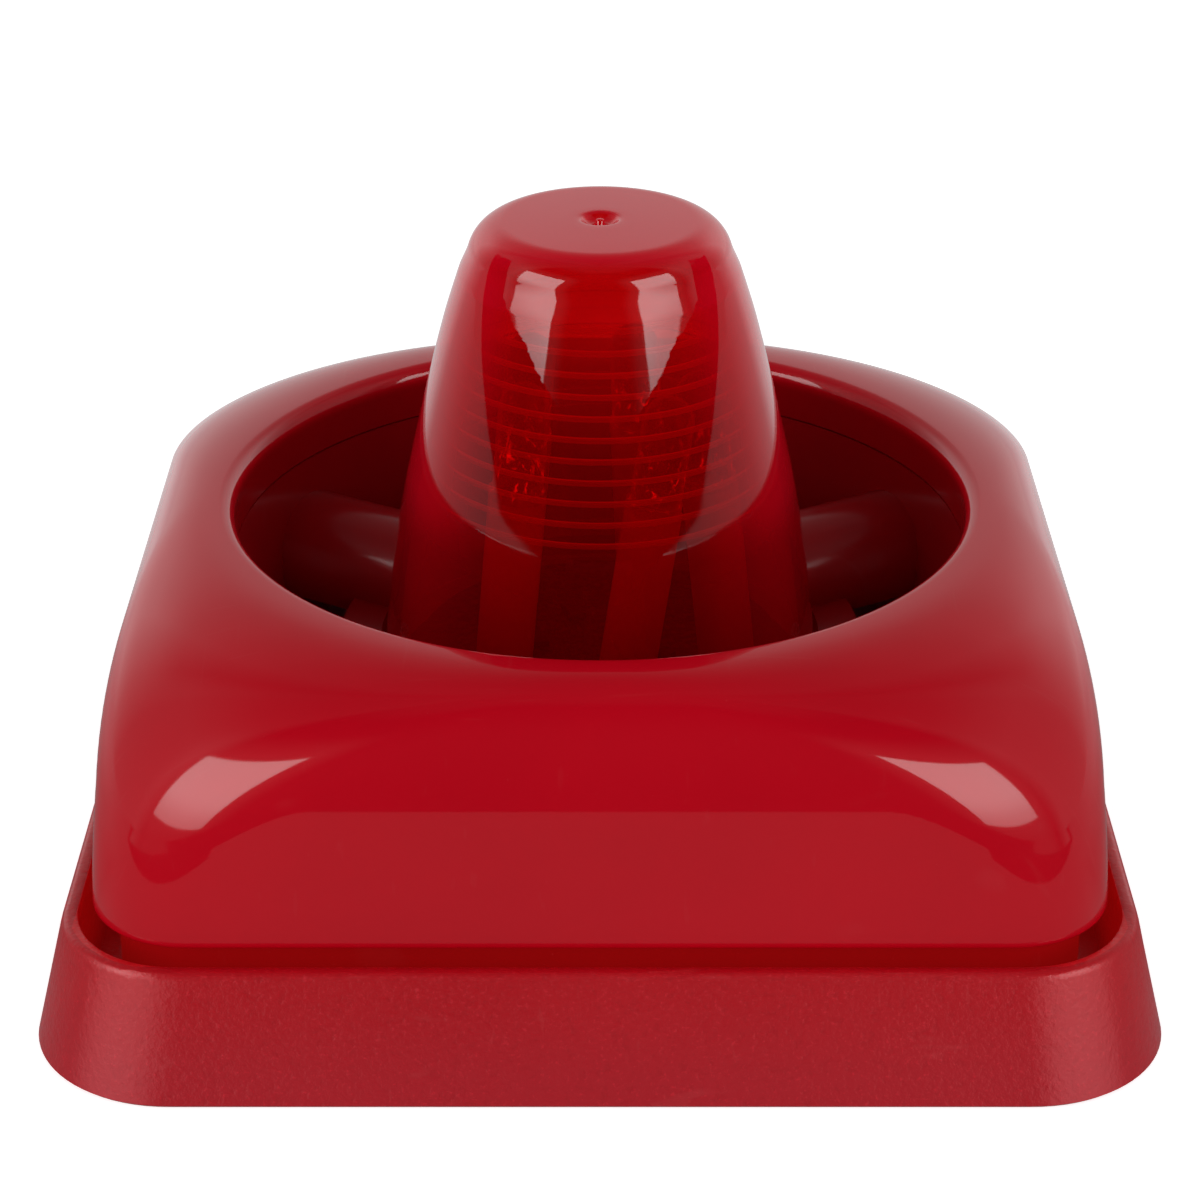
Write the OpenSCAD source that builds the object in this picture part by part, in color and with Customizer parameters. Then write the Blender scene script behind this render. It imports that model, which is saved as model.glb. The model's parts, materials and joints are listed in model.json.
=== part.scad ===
// Wall alarm siren with a round horn mouth and a tapered beacon lens.
// Frame: millimetres, wall plane at z = 0, +Z out of the wall, cable terminals on the -Y side.

/* [Mounting base] */
// Width of the base at the wall
base_w = 108; // [107:0.5:110]
// Width of the base at its upper lip
lip_w = 101.8; // [101.6:0.2:103]
// Height of the base lip above the wall
base_h = 12.8; // [12.4:0.2:13.2]
// Corner radius of the base at the wall
base_r = 13.9; // [13:0.1:15]
// Thickness of the base floor
floor_t = 1.6; // [1.4:0.1:1.8]
// Depth of the relief under the base floor
relief = 0.8; // [0.6:0.1:1]
// Radius of the wall screw holes
wall_hole_r = 2.25; // [2:0.05:2.5]
// Hole spacing for a round conduit box
round_box_pitch = 60.3; // [60:0.1:60.6]
// Hole spacing for a four by two inch box
long_box_pitch = 83.3; // [83:0.1:83.6]

/* [Cover] */
// Width of the glossy cover at its lower edge
cover_w = 96.3; // [96:0.1:96.6]
// Height of the cover's lower edge above the wall
cover_z = 13.7; // [13.5:0.1:14]
// Height of the horn mouth crest above the wall
crest_z = 38.8; // [38.4:0.1:39.4]
// Radius of the horn mouth
mouth_r = 37.35; // [37.2:0.05:37.5]
// Corner radius of the cover at its lower edge
cover_r = 9.8; // [9.4:0.1:10.4]
// Wall thickness of the cover
cover_t = 2; // [1.8:0.1:2.2]

/* [Horn] */
// Height of the seam between cover lip and horn bell
seam_z = 33.2; // [33:0.1:33.6]
// Radius of the bell at its floor
bell_r = 35.4; // [35.2:0.1:35.6]
// Wall thickness of the bell
bell_t = 1.8; // [1.6:0.1:2]
// Radius of the half-round arms
arm_r = 7; // [6.6:0.1:7.2]
// Height of the arms' axis
arm_z = 22.4; // [22:0.1:22.8]

/* [Beacon lens] */
// Height of the lens top above the wall
lens_top = 67.6; // [67:0.1:68.4]
// Lens wall thickness
lens_t = 1.5; // [1.3:0.1:1.6]
// Spacing of the optical rings inside the lens
ring_pitch = 2.03; // [1.98:0.01:2.06]
// Number of optical rings
ring_count = 11; // [7:1:11]

/* [Electronics] */
// Thickness of the circuit boards
board_t = 1.6; // [1.5:0.1:1.6]
// Inward lean of the lamp spacers, in degrees
lamp_lean = 6.5; // [6:0.5:8]
// Length of the lamp spacer tubes
spacer_len = 20; // [19.6:0.1:20.2]
// Radius of the piezo disc
piezo_r = 20.5; // [20:0.1:20.5]

/* [Which part] */
// Which part to draw

/* [Hidden] */

$fn = 64;
red_gloss = [0.62, 0.02, 0.05];
red_matte = [0.55, 0.03, 0.06];
steel = [0.72, 0.72, 0.74];
bright_steel = [0.74, 0.74, 0.76];

// Heights shared by several pieces
floor_z = relief + floor_t;      // top of the base floor
in_floor = floor_z - 0.2;        // start of what stands on the floor, sunk into it
skirt_z = 5.5;                   // lower edge of the chassis skirt, on the base ledges
plate_z0 = 14;                   // chassis plate
plate_z1 = 15.6;
board_z1 = plate_z0 - 1.2;       // main board, hung under the plate
board_z0 = board_z1 - board_t;
retainer_z0 = 16.6;
retainer_z1 = 18.1;
lamp_board_z0 = 19.4;
lamp_board_z1 = lamp_board_z0 + board_t;
block_top = 10.4;                // top of the terminal block

// Places shared by several pieces
fix_x = 31.3;                    // fixing screws
boss_xy = 38;                    // cover screws
stand_x = 40;                    // main board screws
stand_y = 22;
block_ear_x = 13.6;              // terminal block screws
block_ear_y = -38;
arm_start = 30;                  // azimuth of the first of three arms
ear_at = 29;                     // retainer ears, distance from the axis
lamp_post_at = 17;               // lamp board posts, distance from the axis
rib_half = 0.6;                  // half thickness of the stiffening ribs
pin_pitch = 2.54;
contact_pitch = 2 * pin_pitch;
contact_x = [for (i = [0 : 3]) (i - 1.5) * contact_pitch];
clamp_y = -35.8;
socket_y = -40.5;
wire_x = 3.7;                    // lamp wires, from lamp board to main board
wire_in_y = -15;
wire_out_y = -40.2;

// ---- placing and basic solids ----
module place(x, y = 0) translate([x, y, 0]) children();
module both_sides(x, y = 0) for (side = [-1, 1]) place(side * x, y) children();
module four_corners(x, y) for (sx = [-1, 1], sy = [-1, 1]) place(sx * x, sy * y) children();
module around(count, start = 0)
  for (i = [0 : count - 1]) rotate(360 / count * i + start) children();
module at_contacts(y) for (x = contact_x) place(x, y) children();

module rod(r, z0, z1) translate([0, 0, z0]) cylinder(r = r, h = z1 - z0);
module cone(r0, r1, z0, z1) translate([0, 0, z0]) cylinder(r1 = r0, r2 = r1, h = z1 - z0);
// Box between two x, two y (each in either order) and two z.
module box(x0, x1, y0, y1, z0, z1)
  translate([min(x0, x1), min(y0, y1), z0]) cube([abs(x1 - x0), abs(y1 - y0), z1 - z0]);

// Rounded square plate made of true arcs.
module rounded_plate(half, corner, z0, z1) translate([0, 0, z0]) linear_extrude(height = z1 - z0)
  union() {
    inner = half - corner;
    square([2 * half, 2 * inner], center = true);
    square([2 * inner, 2 * half], center = true);
    for (x = [-1, 1], y = [-1, 1]) translate([x * inner, y * inner]) circle(r = corner);
  }

// ---- rounded-square rings, sampled by azimuth ----
// Whole turn of azimuths from those of the first eighth (0 up to, but without, 45).
function whole_turn(eighth) = let (
    last = len(eighth) - 1,
    quarter = concat(eighth, [45], [for (i = [last : -1 : 1]) 90 - eighth[i]]))
  [for (q = [0 : 3]) for (azimuth = quarter) azimuth + 90 * q];
// cover: denser towards the corners
eighth_n = 11;
cover_azimuths = whole_turn([for (i = [0 : eighth_n - 1]) 45 * (1 - pow(1 - i / eighth_n, 1.6))]);
// base: few steps along the straight sides, many round the corners
base_azimuths = whole_turn(concat([0, 14, 26, 34], [for (i = [0 : 9]) 36.5 + 8.5 * i / 10]));

function folded(azimuth) = let (a = azimuth % 90) a > 45 ? 90 - a : a;
// Distance from the axis to a rounded square at an azimuth.
function reach(azimuth, half, corner) = let (
    a = folded(azimuth),
    r = min(corner, half),
    centre = half - r)
  half * tan(a) <= centre
    ? half / cos(a)
    : centre * (cos(a) + sin(a)) + sqrt(r * r - centre * centre * pow(cos(a) - sin(a), 2));
function ring_at(station, azimuths) = [for (a = azimuths)
  let (d = reach(a, station[0], station[1])) [d * cos(a), d * sin(a), station[2]]];

// A closed wall swept round the axis: every station is [half width, corner radius, height].
module wall_loft(stations, azimuths) {
  m = len(stations);
  n = len(azimuths);
  points = [for (station = stations) each ring_at(station, azimuths)];
  faces = [for (k = [0 : m - 1]) let (k2 = (k + 1) % m)
    for (j = [0 : n - 1]) let (j2 = (j + 1) % n)
      each [[k * n + j, k2 * n + j, k2 * n + j2], [k * n + j, k2 * n + j2, k * n + j2]]];
  polyhedron(points = points, faces = faces, convexity = 6);
}

// ---- screws ----
module cross_recess(half_len, half_w, z0, z1) {
  box(-half_len, half_len, -half_w, half_w, z0, z1);
  box(-half_w, half_w, -half_len, half_len, z0, z1);
}
module pan_screw(shank_r, head_r, tip, seat, top) difference() {
  bevel = top - (top - seat) * 0.4;
  union() {
    cone(shank_r * 0.55, shank_r, tip, tip + 0.8);
    rod(shank_r, tip + 0.8, seat);
    rod(head_r, seat, bevel);
    cone(head_r, head_r * 0.72, bevel, top);
  }
  cross_recess(head_r * 0.6, 0.3, top - 0.8, top + 1);
}
// the same screw, driven upwards: head below
module pan_screw_up(shank_r, head_r, tip, seat, head)
  mirror([0, 0, 1]) pan_screw(shank_r, head_r, -tip, -seat, -head);

// =================== base ===================
base_half = base_w / 2;
lip_half = lip_w / 2;
lip_in = lip_half - 1.53;        // inner half width of the lip
insert_z0 = 4;
insert_z1 = 9.4;
insert_r = 2.4;
fix_post_r = 3.9;
block_ear_r = 2.9;
block_ear_z0 = 4.4;
block_ear_z1 = 5.9;
// [half width, corner radius, height]: up the outside, over the lip, down the inside
base_stations = [
  [base_half - 0.35, base_r - 0.3, 0],
  [base_half, base_r, 0.35],
  [lip_half + 0.2, base_r - 2.2, base_h - 0.8],
  [lip_half, base_r - 2.3, base_h - 0.35],
  [lip_half - 0.22, base_r - 2.5, base_h - 0.1],
  [lip_half - 0.55, base_r - 2.8, base_h],
  [lip_in + 0.5, base_r - 3.3, base_h],
  [lip_in + 0.18, base_r - 3.5, base_h - 0.12],
  [lip_in + 0.03, base_r - 3.6, base_h - 0.4],
  [lip_in, base_r - 3.6, base_h - 0.9],
  [lip_in, base_r - 3.6, 2],
  [lip_in + 0.4, base_r - 3.2, 0.3],
  [lip_in + 0.8, base_r - 2.9, 0]];

// the two hole pairs, on opposite diagonals
module at_wall_holes() {
  round_xy = round_box_pitch / 2 * cos(45);
  long_xy = long_box_pitch / 2 * cos(45);
  for (side = [-1, 1]) {
    place(side * round_xy, side * round_xy) children();
    place(side * long_xy, -side * long_xy) children();
  }
}

module mounting_base() color(red_matte) difference() {
  ledge_y = 43.8;
  union() {
    wall_loft(base_stations, base_azimuths);
    rounded_plate(51, 12, relief, floor_z);
    // pads that reach the wall
    rod(14.5, 0, in_floor);
    at_wall_holes() rod(6, 0, floor_z + 0.8);
    // finned posts for the fixing inserts
    both_sides(fix_x) {
      rod(fix_post_r, 0.2, insert_z1);
      around(4, 45) box(2.6, 5.6, -rib_half, rib_half, in_floor, 7);
    }
    // ledges under the head
    around(4) {
      box(-9, 9, ledge_y, lip_in + 1, in_floor, skirt_z);
      both_sides(24) box(-rib_half, rib_half, ledge_y, lip_in + 1, in_floor, skirt_z);
    }
    // posts for the terminal block
    both_sides(block_ear_x, block_ear_y) rod(block_ear_r, in_floor, block_ear_z0);
    // stiffening ribs across the floor
    both_sides(17) box(-rib_half, rib_half, 14, 43, in_floor, floor_z + 0.8);
    four_corners(30, 13) box(-12, 12, -rib_half, rib_half, in_floor, floor_z + 0.8);
  }
  rod(10, -1, floor_z + 1);
  at_wall_holes() {
    rod(wall_hole_r, -1, floor_z + 2);
    rod(4.1, floor_z, floor_z + 2);
  }
  both_sides(fix_x) {
    rod(insert_r + 0.02, insert_z0 - 0.1, 10);
    rod(1.7, 2.9, 5);
  }
  both_sides(block_ear_x, block_ear_y) rod(1.25, 1.2, 6);
}

module cable_grommet() color([0.09, 0.09, 0.1]) rotate_extrude() polygon([
  [3.5, 0.3], [9.4, 0.3], [9.95, 0.8], [9.95, floor_z], [12.4, floor_z],
  [12.4, floor_z + 0.7], [11.8, floor_z + 1.2], [8.6, floor_z + 1.2],
  [6.4, 1.8], [4.4, 1.8], [3.5, 1.8]]);

module threaded_inserts() color([0.78, 0.6, 0.25]) both_sides(fix_x) difference() {
  union() {
    rod(insert_r, insert_z0, 5.9);
    rod(2.1, 5.9, 6.7);
    rod(insert_r, 6.7, insert_z1);
  }
  rod(1.5, insert_z0 - 1, 10);
}

// =================== terminals ===================
block_half = 10.3;
block_y0 = -43.4;
block_y1 = -32.6;
strip_z0 = 5.9;                  // contact strips
strip_z1 = 6.7;

module block_ear(side) difference() {
  union() {
    place(side * block_ear_x, block_ear_y) rod(block_ear_r, block_ear_z0, block_ear_z1);
    box(side * 9.5, side * block_ear_x, block_ear_y - block_ear_r, block_ear_y + block_ear_r,
      block_ear_z0, block_ear_z1);
  }
  place(side * block_ear_x, block_ear_y) rod(1.6, 4, 6.5);
}

module terminal_block() color([0.1, 0.32, 0.2]) difference() {
  fin_w = 0.4;
  fin_pitch = (2 * block_half - fin_w) / 4;
  union() {
    box(-block_half, block_half, block_y0, block_y1, floor_z, block_top);
    // strip flush with the top, along the sockets
    box(-block_half, block_half, socket_y - 1.5, socket_y + 1.5, block_top - 0.1, block_top);
    for (side = [-1, 1]) block_ear(side);
    for (i = [0 : 4]) place(-block_half + i * fin_pitch)
      box(0, fin_w, block_y1 - 0.4, block_y1 + 0.4, floor_z + 0.4, block_top - 0.8);
  }
  // clamp chamber, screw shaft and cable entry
  at_contacts(clamp_y) {
    box(-2.05, 2.05, -1.75, 1.75, 2.9, 8.8);
    rod(1.3, 8, 12);
    rod(1.95, 9.3, 12);
    translate([0, 0, 4.9]) rotate([-90, 0, 0]) cylinder(r = 1.5, h = 8);
  }
  // slot for the contact strip and its socket
  at_contacts(socket_y) {
    box(-1.15, 1.15, -1.2, clamp_y - socket_y, strip_z0 - 0.05, strip_z1 + 0.05);
    rod(1.1, strip_z0 - 0.05, 10);
    rod(0.8, 9, 12);
  }
}

module terminal_block_screws() color(steel)
  both_sides(block_ear_x, block_ear_y) pan_screw(1.2, 2.5, 1.6, block_ear_z1, 7.6);

module terminal_contacts() color([0.8, 0.66, 0.32]) at_contacts(socket_y) difference() {
  union() {
    box(-1.1, 1.1, 0.2, clamp_y + 1.65 - socket_y, strip_z0, strip_z1);
    rod(1, strip_z0, 9);
  }
  rod(0.55, 5, 10);
}

module terminal_screw(i) color(bright_steel) place(contact_x[i], clamp_y) difference() {
  union() {
    rod(1.2, 6.75, 9.35);
    rod(1.85, 9.35, 10.25);
  }
  box(-2.2, 2.2, -0.28, 0.28, 9.75, 10.6);
}

module terminal_clamp(i) color([0.68, 0.69, 0.7]) place(contact_x[i], clamp_y) difference() {
  box(-1.95, 1.95, -1.6, 1.6, 3.1, 7.7);
  box(-1.3, 1.3, -3, 3, 3.9, 6.9);
  rod(1.25, 6, 9);
}

// =================== cover ===================
cover_half = cover_w / 2;
shoulder_half = cover_half - 0.35;   // half width where the shoulder starts
shoulder_z = 23.78;                  // height where the shoulder starts
shoulder_power = 2.54;               // superellipse exponent of the shoulder
lip_round = 1.55;                    // rounding between crest and mouth
crest_r = mouth_r + lip_round;
inner_r = mouth_r + 1.9;
inner_top = crest_z - cover_t;

// Corner radius at a height, growing from low_r to high_r at top_z.
function corner_r(z, low_r, high_r, top_z) = let (start_z = 13.27)
  low_r + (high_r - low_r) * pow(max(0, min(1, (z - start_z) / (top_z - start_z))), 2.078);
// Shoulder stations at the superellipse parameters in angles, 0 low and 90 at the top.
function shoulder(angles, low_half, low_r, top_r, top_z) = [for (t = angles) let (
    z = shoulder_z + (top_z - shoulder_z) * pow(sin(t), 2 / shoulder_power))
  [top_r + (low_half - top_r) * pow(max(0, cos(t)), 2 / shoulder_power),
    corner_r(z, low_r, top_r, top_z), z]];

// [half width, corner radius, height]: up the outside, into the mouth, down the inside
cover_stations = concat(
  [[cover_half - 0.4, cover_r, cover_z],
    [cover_half - 0.1, cover_r, cover_z + 0.12],
    [cover_half, cover_r, cover_z + 0.5],
    [cover_half - 0.15, corner_r(18, cover_r, crest_r, crest_z), 18],
    [shoulder_half, corner_r(shoulder_z, cover_r, crest_r, crest_z), shoulder_z]],
  shoulder([4, 8, 13, 18, 24, 30, 37, 44, 51, 58, 65, 72, 79, 85, 90],
    shoulder_half, cover_r, crest_r, crest_z),
  [for (t = [75 : -15 : 0]) let (r = crest_r - lip_round * cos(t))
    [r, r, crest_z - lip_round + lip_round * sin(t)]],
  [[mouth_r, mouth_r, seam_z],
    [inner_r, inner_r, seam_z],
    [inner_r + 0.02, inner_r + 0.02, inner_top - 0.3]],
  shoulder([88, 80, 72, 64, 56, 48, 40, 32, 24, 16, 8, 3],
    shoulder_half - cover_t, cover_r - cover_t, inner_r, inner_top),
  [[shoulder_half - cover_t, cover_r - cover_t + 1.1, shoulder_z],
    [cover_half - cover_t, cover_r - cover_t + 0.2, cover_z + 0.2],
    [cover_half - cover_t + 0.1, cover_r - cover_t + 0.2, cover_z]]);

module outer_cover() color(red_gloss) difference() {
  union() {
    wall_loft(cover_stations, cover_azimuths);
    four_corners(boss_xy, boss_xy) rod(3.2, plate_z1, 30.5);
  }
  four_corners(boss_xy, boss_xy) rod(1.3, 15, 26);
}

module cover_screws() color(steel) four_corners(boss_xy, boss_xy)
  pan_screw_up(1.25, 2.7, 24.5, plate_z0, plate_z0 - 1.8);

// =================== horn chassis ===================
chassis_half = 46;
chassis_r = 8.8;
skirt_t = 1.6;
hub_in = 23;
hub_out = 27.2;
arm_wall = 1.8;
fix_boss_top = 19;

// one half-round arm along +X, and the hollow under it
module arm() rotate([90, 0, 90]) translate([0, 0, 20]) linear_extrude(height = 19)
  intersection() {
    translate([0, arm_z]) circle(r = arm_r);
    translate([-arm_r - 1, 20.7]) square([2 * arm_r + 2, arm_r + 4]);
  }
module arm_hollow() translate([28.2, 0, 0]) rotate([90, 0, 90]) linear_extrude(height = 6.4)
  union() {
    hollow_r = arm_r - arm_wall;
    hollow_z = arm_z - 0.6;
    translate([0, hollow_z]) circle(r = hollow_r);
    translate([-hollow_r, 17]) square([2 * hollow_r, hollow_z - 17]);
  }

module hub_and_arms() union() {
  difference() {
    // trimmed to the inside of the bell wall
    intersection() {
      union() {
        rod(hub_out, 20, 22.4);
        around(3, arm_start) arm();
      }
      cone(bell_r + 0.6, mouth_r + 0.75, plate_z1, seam_z);
    }
    around(3, arm_start) arm_hollow();
    cone(hub_in + 0.5, hub_in - 1.1, 17, 31);
  }
  // screw posts inside the arms
  around(3, arm_start) place(ear_at) rod(2.3, 18.2, 28);
}

module chassis_plate() difference() {
  union() {
    rounded_plate(chassis_half, chassis_r, plate_z0, plate_z1);
    difference() {
      rounded_plate(chassis_half, chassis_r, skirt_z, plate_z0 + 0.2);
      rounded_plate(chassis_half - skirt_t, chassis_r - skirt_t, skirt_z - 1, plate_z0 + 0.5);
    }
  }
  rod(31, plate_z0 - 1, plate_z1 + 1);
}

module horn_bell() rotate_extrude() polygon([
  [bell_r, plate_z0 + 0.3], [bell_r, plate_z1], [mouth_r + 0.02, seam_z - 0.12],
  [mouth_r + bell_t - 0.1, seam_z - 0.12], [mouth_r + bell_t, seam_z - 0.5],
  [bell_r + bell_t, plate_z1], [bell_r + bell_t, plate_z0 + 0.3]]);

module horn_chassis() color(red_gloss) difference() {
  union() {
    chassis_plate();
    horn_bell();
    hub_and_arms();
    // bosses for the two fixing screws, tied to the bell wall
    for (side = [-1, 1]) {
      place(side * fix_x) rod(fix_post_r, plate_z0, fix_boss_top);
      box(side * 33, side * 36.4, -2.6, 2.6, plate_z0, 18);
    }
    // posts for the main board
    four_corners(stand_x, stand_y) rod(2.8, board_z1, 19);
    // stiffening ribs between bell and rim of the plate
    around(4) both_sides(13) box(-rib_half, rib_half, 36.2, 44.2, plate_z1 - 0.3, 20);
  }
  both_sides(fix_x) {
    rod(1.65, 10, 22);
    rod(2.7, 13, 17.6);
  }
  around(3, arm_start) place(ear_at) rod(0.95, 17, 25);
  four_corners(stand_x, stand_y) rod(1.25, 12, 18);
  four_corners(boss_xy, boss_xy) rod(1.7, 13, 17);
  // lamp wires: tunnels through the bell foot and drop holes in the plate
  both_sides(wire_x) box(-0.8, 0.8, -38.4, -33.8, plate_z1 - 0.2, 17.2);
  both_sides(wire_x, wire_out_y) rod(0.8, 13, 17);
}

// =================== beacon lens ===================
lens_z0 = 18.2;
flange_r = 26;
flange_top = 19.9;
ring_depth = 0.45;               // how far the optical rings stand in from the wall
first_ring_z = 40.35;
top_round = 3.9;                 // rounding at the lens top, and its centre
top_round_r = 9.35;
top_round_z = lens_top - top_round;
// measured outside of the lens: [height, radius]
lens_profile = [
  [12, 23.62], [16, 23.15], [20, 22.68], [25, 22.1], [30, 21.5],
  [34, 20.93], [38, 20.24], [42, 19.42], [46, 18.5], [50, 17.56],
  [54, 16.56], [58, 15.5], [62, 14.22], [lens_top - 2.7, 13.2]];
function lens_r(z) = lookup(z, lens_profile);
function lens_in_r(z) = lens_r(z) - lens_t;

// [radius, height]: up the outside to the dimple on the axis
lens_outside = concat(
  [for (z = [20 : 2 : 62]) [lens_r(z), z]],
  [[13.2, lens_top - 2.75]],
  [for (t = [24, 36, 48, 60, 72, 82, 90])
    [top_round_r + top_round * cos(t) - 0.02, top_round_z + top_round * sin(t)]],
  [[6, lens_top + 0.08], [2.3, lens_top + 0.14], [1.75, lens_top + 0.05],
    [1.2, lens_top - 0.55], [0.55, lens_top - 0.65], [0.42, lens_top - 0.05],
    [0, lens_top + 0.05]]);
// [radius, height]: down the inside, past the optical rings
lens_ceiling = lens_top - lens_t;
lens_inside = concat(
  [[0, lens_ceiling - 0.3], [8.6, lens_ceiling - 0.4],
    [10.7, lens_ceiling - 1.4], [11.9, lens_ceiling - 3.2]],
  [for (i = [ring_count - 1 : -1 : 0]) let (z = first_ring_z + ring_pitch * i) each [
    [lens_in_r(z + 0.55), z + 0.55],
    [lens_in_r(z + 0.3) - ring_depth, z + 0.22],
    [lens_in_r(z) - ring_depth, z],
    [lens_in_r(z - 0.05), z - 0.06]]],
  [for (z = [38 : -4 : 22]) [lens_in_r(z), z]],
  [[lens_in_r(18), lens_z0]]);

module beacon_lens() color([0.75, 0.01, 0.03, 0.55]) difference() {
  rotate_extrude($fn = 96) polygon(concat(
    [[flange_r, lens_z0], [flange_r, flange_top], [hub_in - 0.1, flange_top]],
    lens_outside, lens_inside));
  // notches for the wires' strain relief and for turning the lens home
  around(3, arm_start + 60) box(24.9, 27, -1.5, 1.5, 17, 21);
}

module lens_retainer() color([0.12, 0.12, 0.13]) difference() {
  ear_half = 2.6;
  union() {
    rod(26.2, retainer_z0, retainer_z1);
    around(3, arm_start) {
      place(ear_at) rod(ear_half, retainer_z0, retainer_z1);
      box(24, ear_at, -ear_half, ear_half, retainer_z0, retainer_z1);
    }
    // stepped posts for the lamp board, and fences round it
    around(4, 45) place(lamp_post_at) {
      rod(1.7, retainer_z1 - 0.1, lamp_board_z0);
      rod(0.75, lamp_board_z0 - 0.1, lamp_board_z1 + 0.5);
    }
    around(3, 90) box(20.2, 20.9, -3, 3, retainer_z1 - 0.1, lamp_board_z1 - 0.8);
  }
  around(3, arm_start) {
    place(ear_at) rod(1.1, 15, 20);
    place(9) rod(3, 15, 20);
  }
  both_sides(wire_x, wire_in_y) rod(0.75, 15, 20);
}

module retainer_screws() color(steel) around(3, arm_start) place(ear_at)
  pan_screw_up(0.9, 1.7, 23.5, retainer_z0, retainer_z0 - 0.95);

// =================== lamps ===================
// [x, y] of each lamp on its board; the second one stands crooked
lamp_at = [[-10, -8.8], [2.35, -11.1], [13.2, -4.6], [4.8, 12.3], [-9.6, 8.8]];
crooked = 1;
crooked_azimuth = 18;
crooked_extra = 2.5;             // additional lean, in degrees
wire_r = 0.42;
wire_z = 16.1;

module at_lamps() for (i = [0 : 4]) {
  foot = lamp_at[i];
  azimuth = i == crooked ? crooked_azimuth : atan2(-foot[1], -foot[0]);
  lean = i == crooked ? lamp_lean + crooked_extra : lamp_lean;
  translate([foot[0], foot[1], lamp_board_z1])
    rotate(a = lean, v = [-sin(azimuth), cos(azimuth), 0]) children();
}
module at_lamp_pins() for (foot = lamp_at)
  place(foot[0], foot[1]) both_sides(pin_pitch / 2) children();

module led_board() color([0.1, 0.3, 0.14]) difference() {
  rod(19, lamp_board_z0, lamp_board_z1);
  around(4, 45) place(lamp_post_at) rod(0.8, 19, 22);
  both_sides(wire_x, wire_in_y) rod(0.55, 19, 22);
  at_lamp_pins() rod(0.45, 19, 22);
}

module led_spacers() color([0.86, 0.84, 0.8]) at_lamps() difference() {
  rod(2.9, 0.52, spacer_len);
  both_sides(pin_pitch / 2) rod(0.5, -1, spacer_len + 1);
}

module led_lamps() color([0.9, 0.25, 0.22, 0.8]) at_lamps() translate([0, 0, spacer_len])
  difference() {
    rotate_extrude() polygon([[0, 0], [2.95, 0], [2.95, 1], [2.6, 1.05], [2.6, 9.6],
      [2.4, 10.5], [1.86, 11.35], [1, 11.9], [0, 12.1]]);
    // flat on the rim
    box(2.65, 3.2, -3, 3, -1, 1.02);
  }

module led_leads() color([0.75, 0.75, 0.77]) {
  lead_r = 0.25;
  at_lamps() both_sides(pin_pitch / 2) rod(lead_r, 0.35, spacer_len);
  at_lamp_pins() {
    rod(lead_r, lamp_board_z0 - 0.9, lamp_board_z1 + 0.75);
    rod(0.6, lamp_board_z0 - 0.5, lamp_board_z0);
  }
}

module led_resistors() color([0.2, 0.2, 0.22])
  around(5, 258) place(7) box(-1.6, 1.6, -0.8, 0.8, lamp_board_z1, lamp_board_z1 + 0.6);

// down from the lamp board, out towards -Y, down to the main board
module lamp_wire(side) place(side * wire_x) {
  place(0, wire_in_y) rod(wire_r, wire_z, 21.6);
  for (y = [wire_in_y, wire_out_y]) translate([0, y, wire_z]) sphere(r = wire_r);
  translate([0, wire_in_y, wire_z]) rotate([90, 0, 0])
    cylinder(r = wire_r, h = wire_in_y - wire_out_y);
  place(0, wire_out_y) rod(wire_r, board_z0, wire_z);
}
module led_wire_red() color([0.7, 0.05, 0.05]) lamp_wire(1);
module led_wire_black() color([0.05, 0.05, 0.05]) lamp_wire(-1);

// =================== sounder ===================
piezo_z = 14;                    // underside of the disc
ceramic_z = 13.75;
inner_lead_x = 8;                // to the ceramic
outer_lead_x = 16.5;             // to the disc

module sounder_ring() color([0.07, 0.07, 0.08]) difference() {
  union() {
    rotate_extrude() polygon([[19.6, board_z1], [24.4, board_z1], [24.4, 14.9], [24.1, 15.2],
      [21.4, 15.2], [20.65, 14.8], [20.65, piezo_z], [19.6, piezo_z]]);
    around(3, 90) box(24.2, 26, -1.6, 1.6, board_z1, board_z1 + 1);
  }
  around(3) box(19, 25, -1.2, 1.2, 12, 13.6);
}
module piezo_disc() color([0.8, 0.62, 0.24]) rod(piezo_r, piezo_z, piezo_z + 0.25);
module piezo_ceramic() color([0.85, 0.84, 0.8]) rod(14, ceramic_z, piezo_z);
module piezo_leads() color(bright_steel) {
  place(inner_lead_x) rod(0.3, 10.7, ceramic_z);
  place(outer_lead_x) rod(0.3, 10.7, piezo_z);
}

// =================== main board ===================
module main_board() color([0.09, 0.34, 0.15]) difference() {
  // square with its corners cut off
  intersection() {
    box(-43, 43, -43, 43, board_z0, board_z1);
    rotate(45) box(-50, 50, -50, 50, board_z0, board_z1);
  }
  both_sides(fix_x) rod(3, 10, 14);
  four_corners(stand_x, stand_y) rod(1.35, 10, 14);
  both_sides(wire_x, wire_out_y) rod(0.5, 10, 14);
  for (x = [inner_lead_x, outer_lead_x]) place(x) rod(0.4, 10, 14);
  at_contacts(socket_y) rod(0.55, 10, 14);
}

module board_screws() color(steel) four_corners(stand_x, stand_y)
  pan_screw_up(1.2, 2.4, 17, board_z0, board_z0 - 1.6);

supply_pin_r = 0.5;
module pin_header() color([0.06, 0.06, 0.07]) difference() {
  box(-10.1, 10.1, socket_y - 1.25, socket_y + 1.25, block_top + 0.1, board_z0);
  at_contacts(socket_y) rod(supply_pin_r, 10, 12);
}
module supply_pins() color([0.8, 0.68, 0.36]) at_contacts(socket_y) {
  rod(supply_pin_r, 7.2, 13.5);
  cone(0.25, supply_pin_r, 6.7, 7.2);
}

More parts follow.
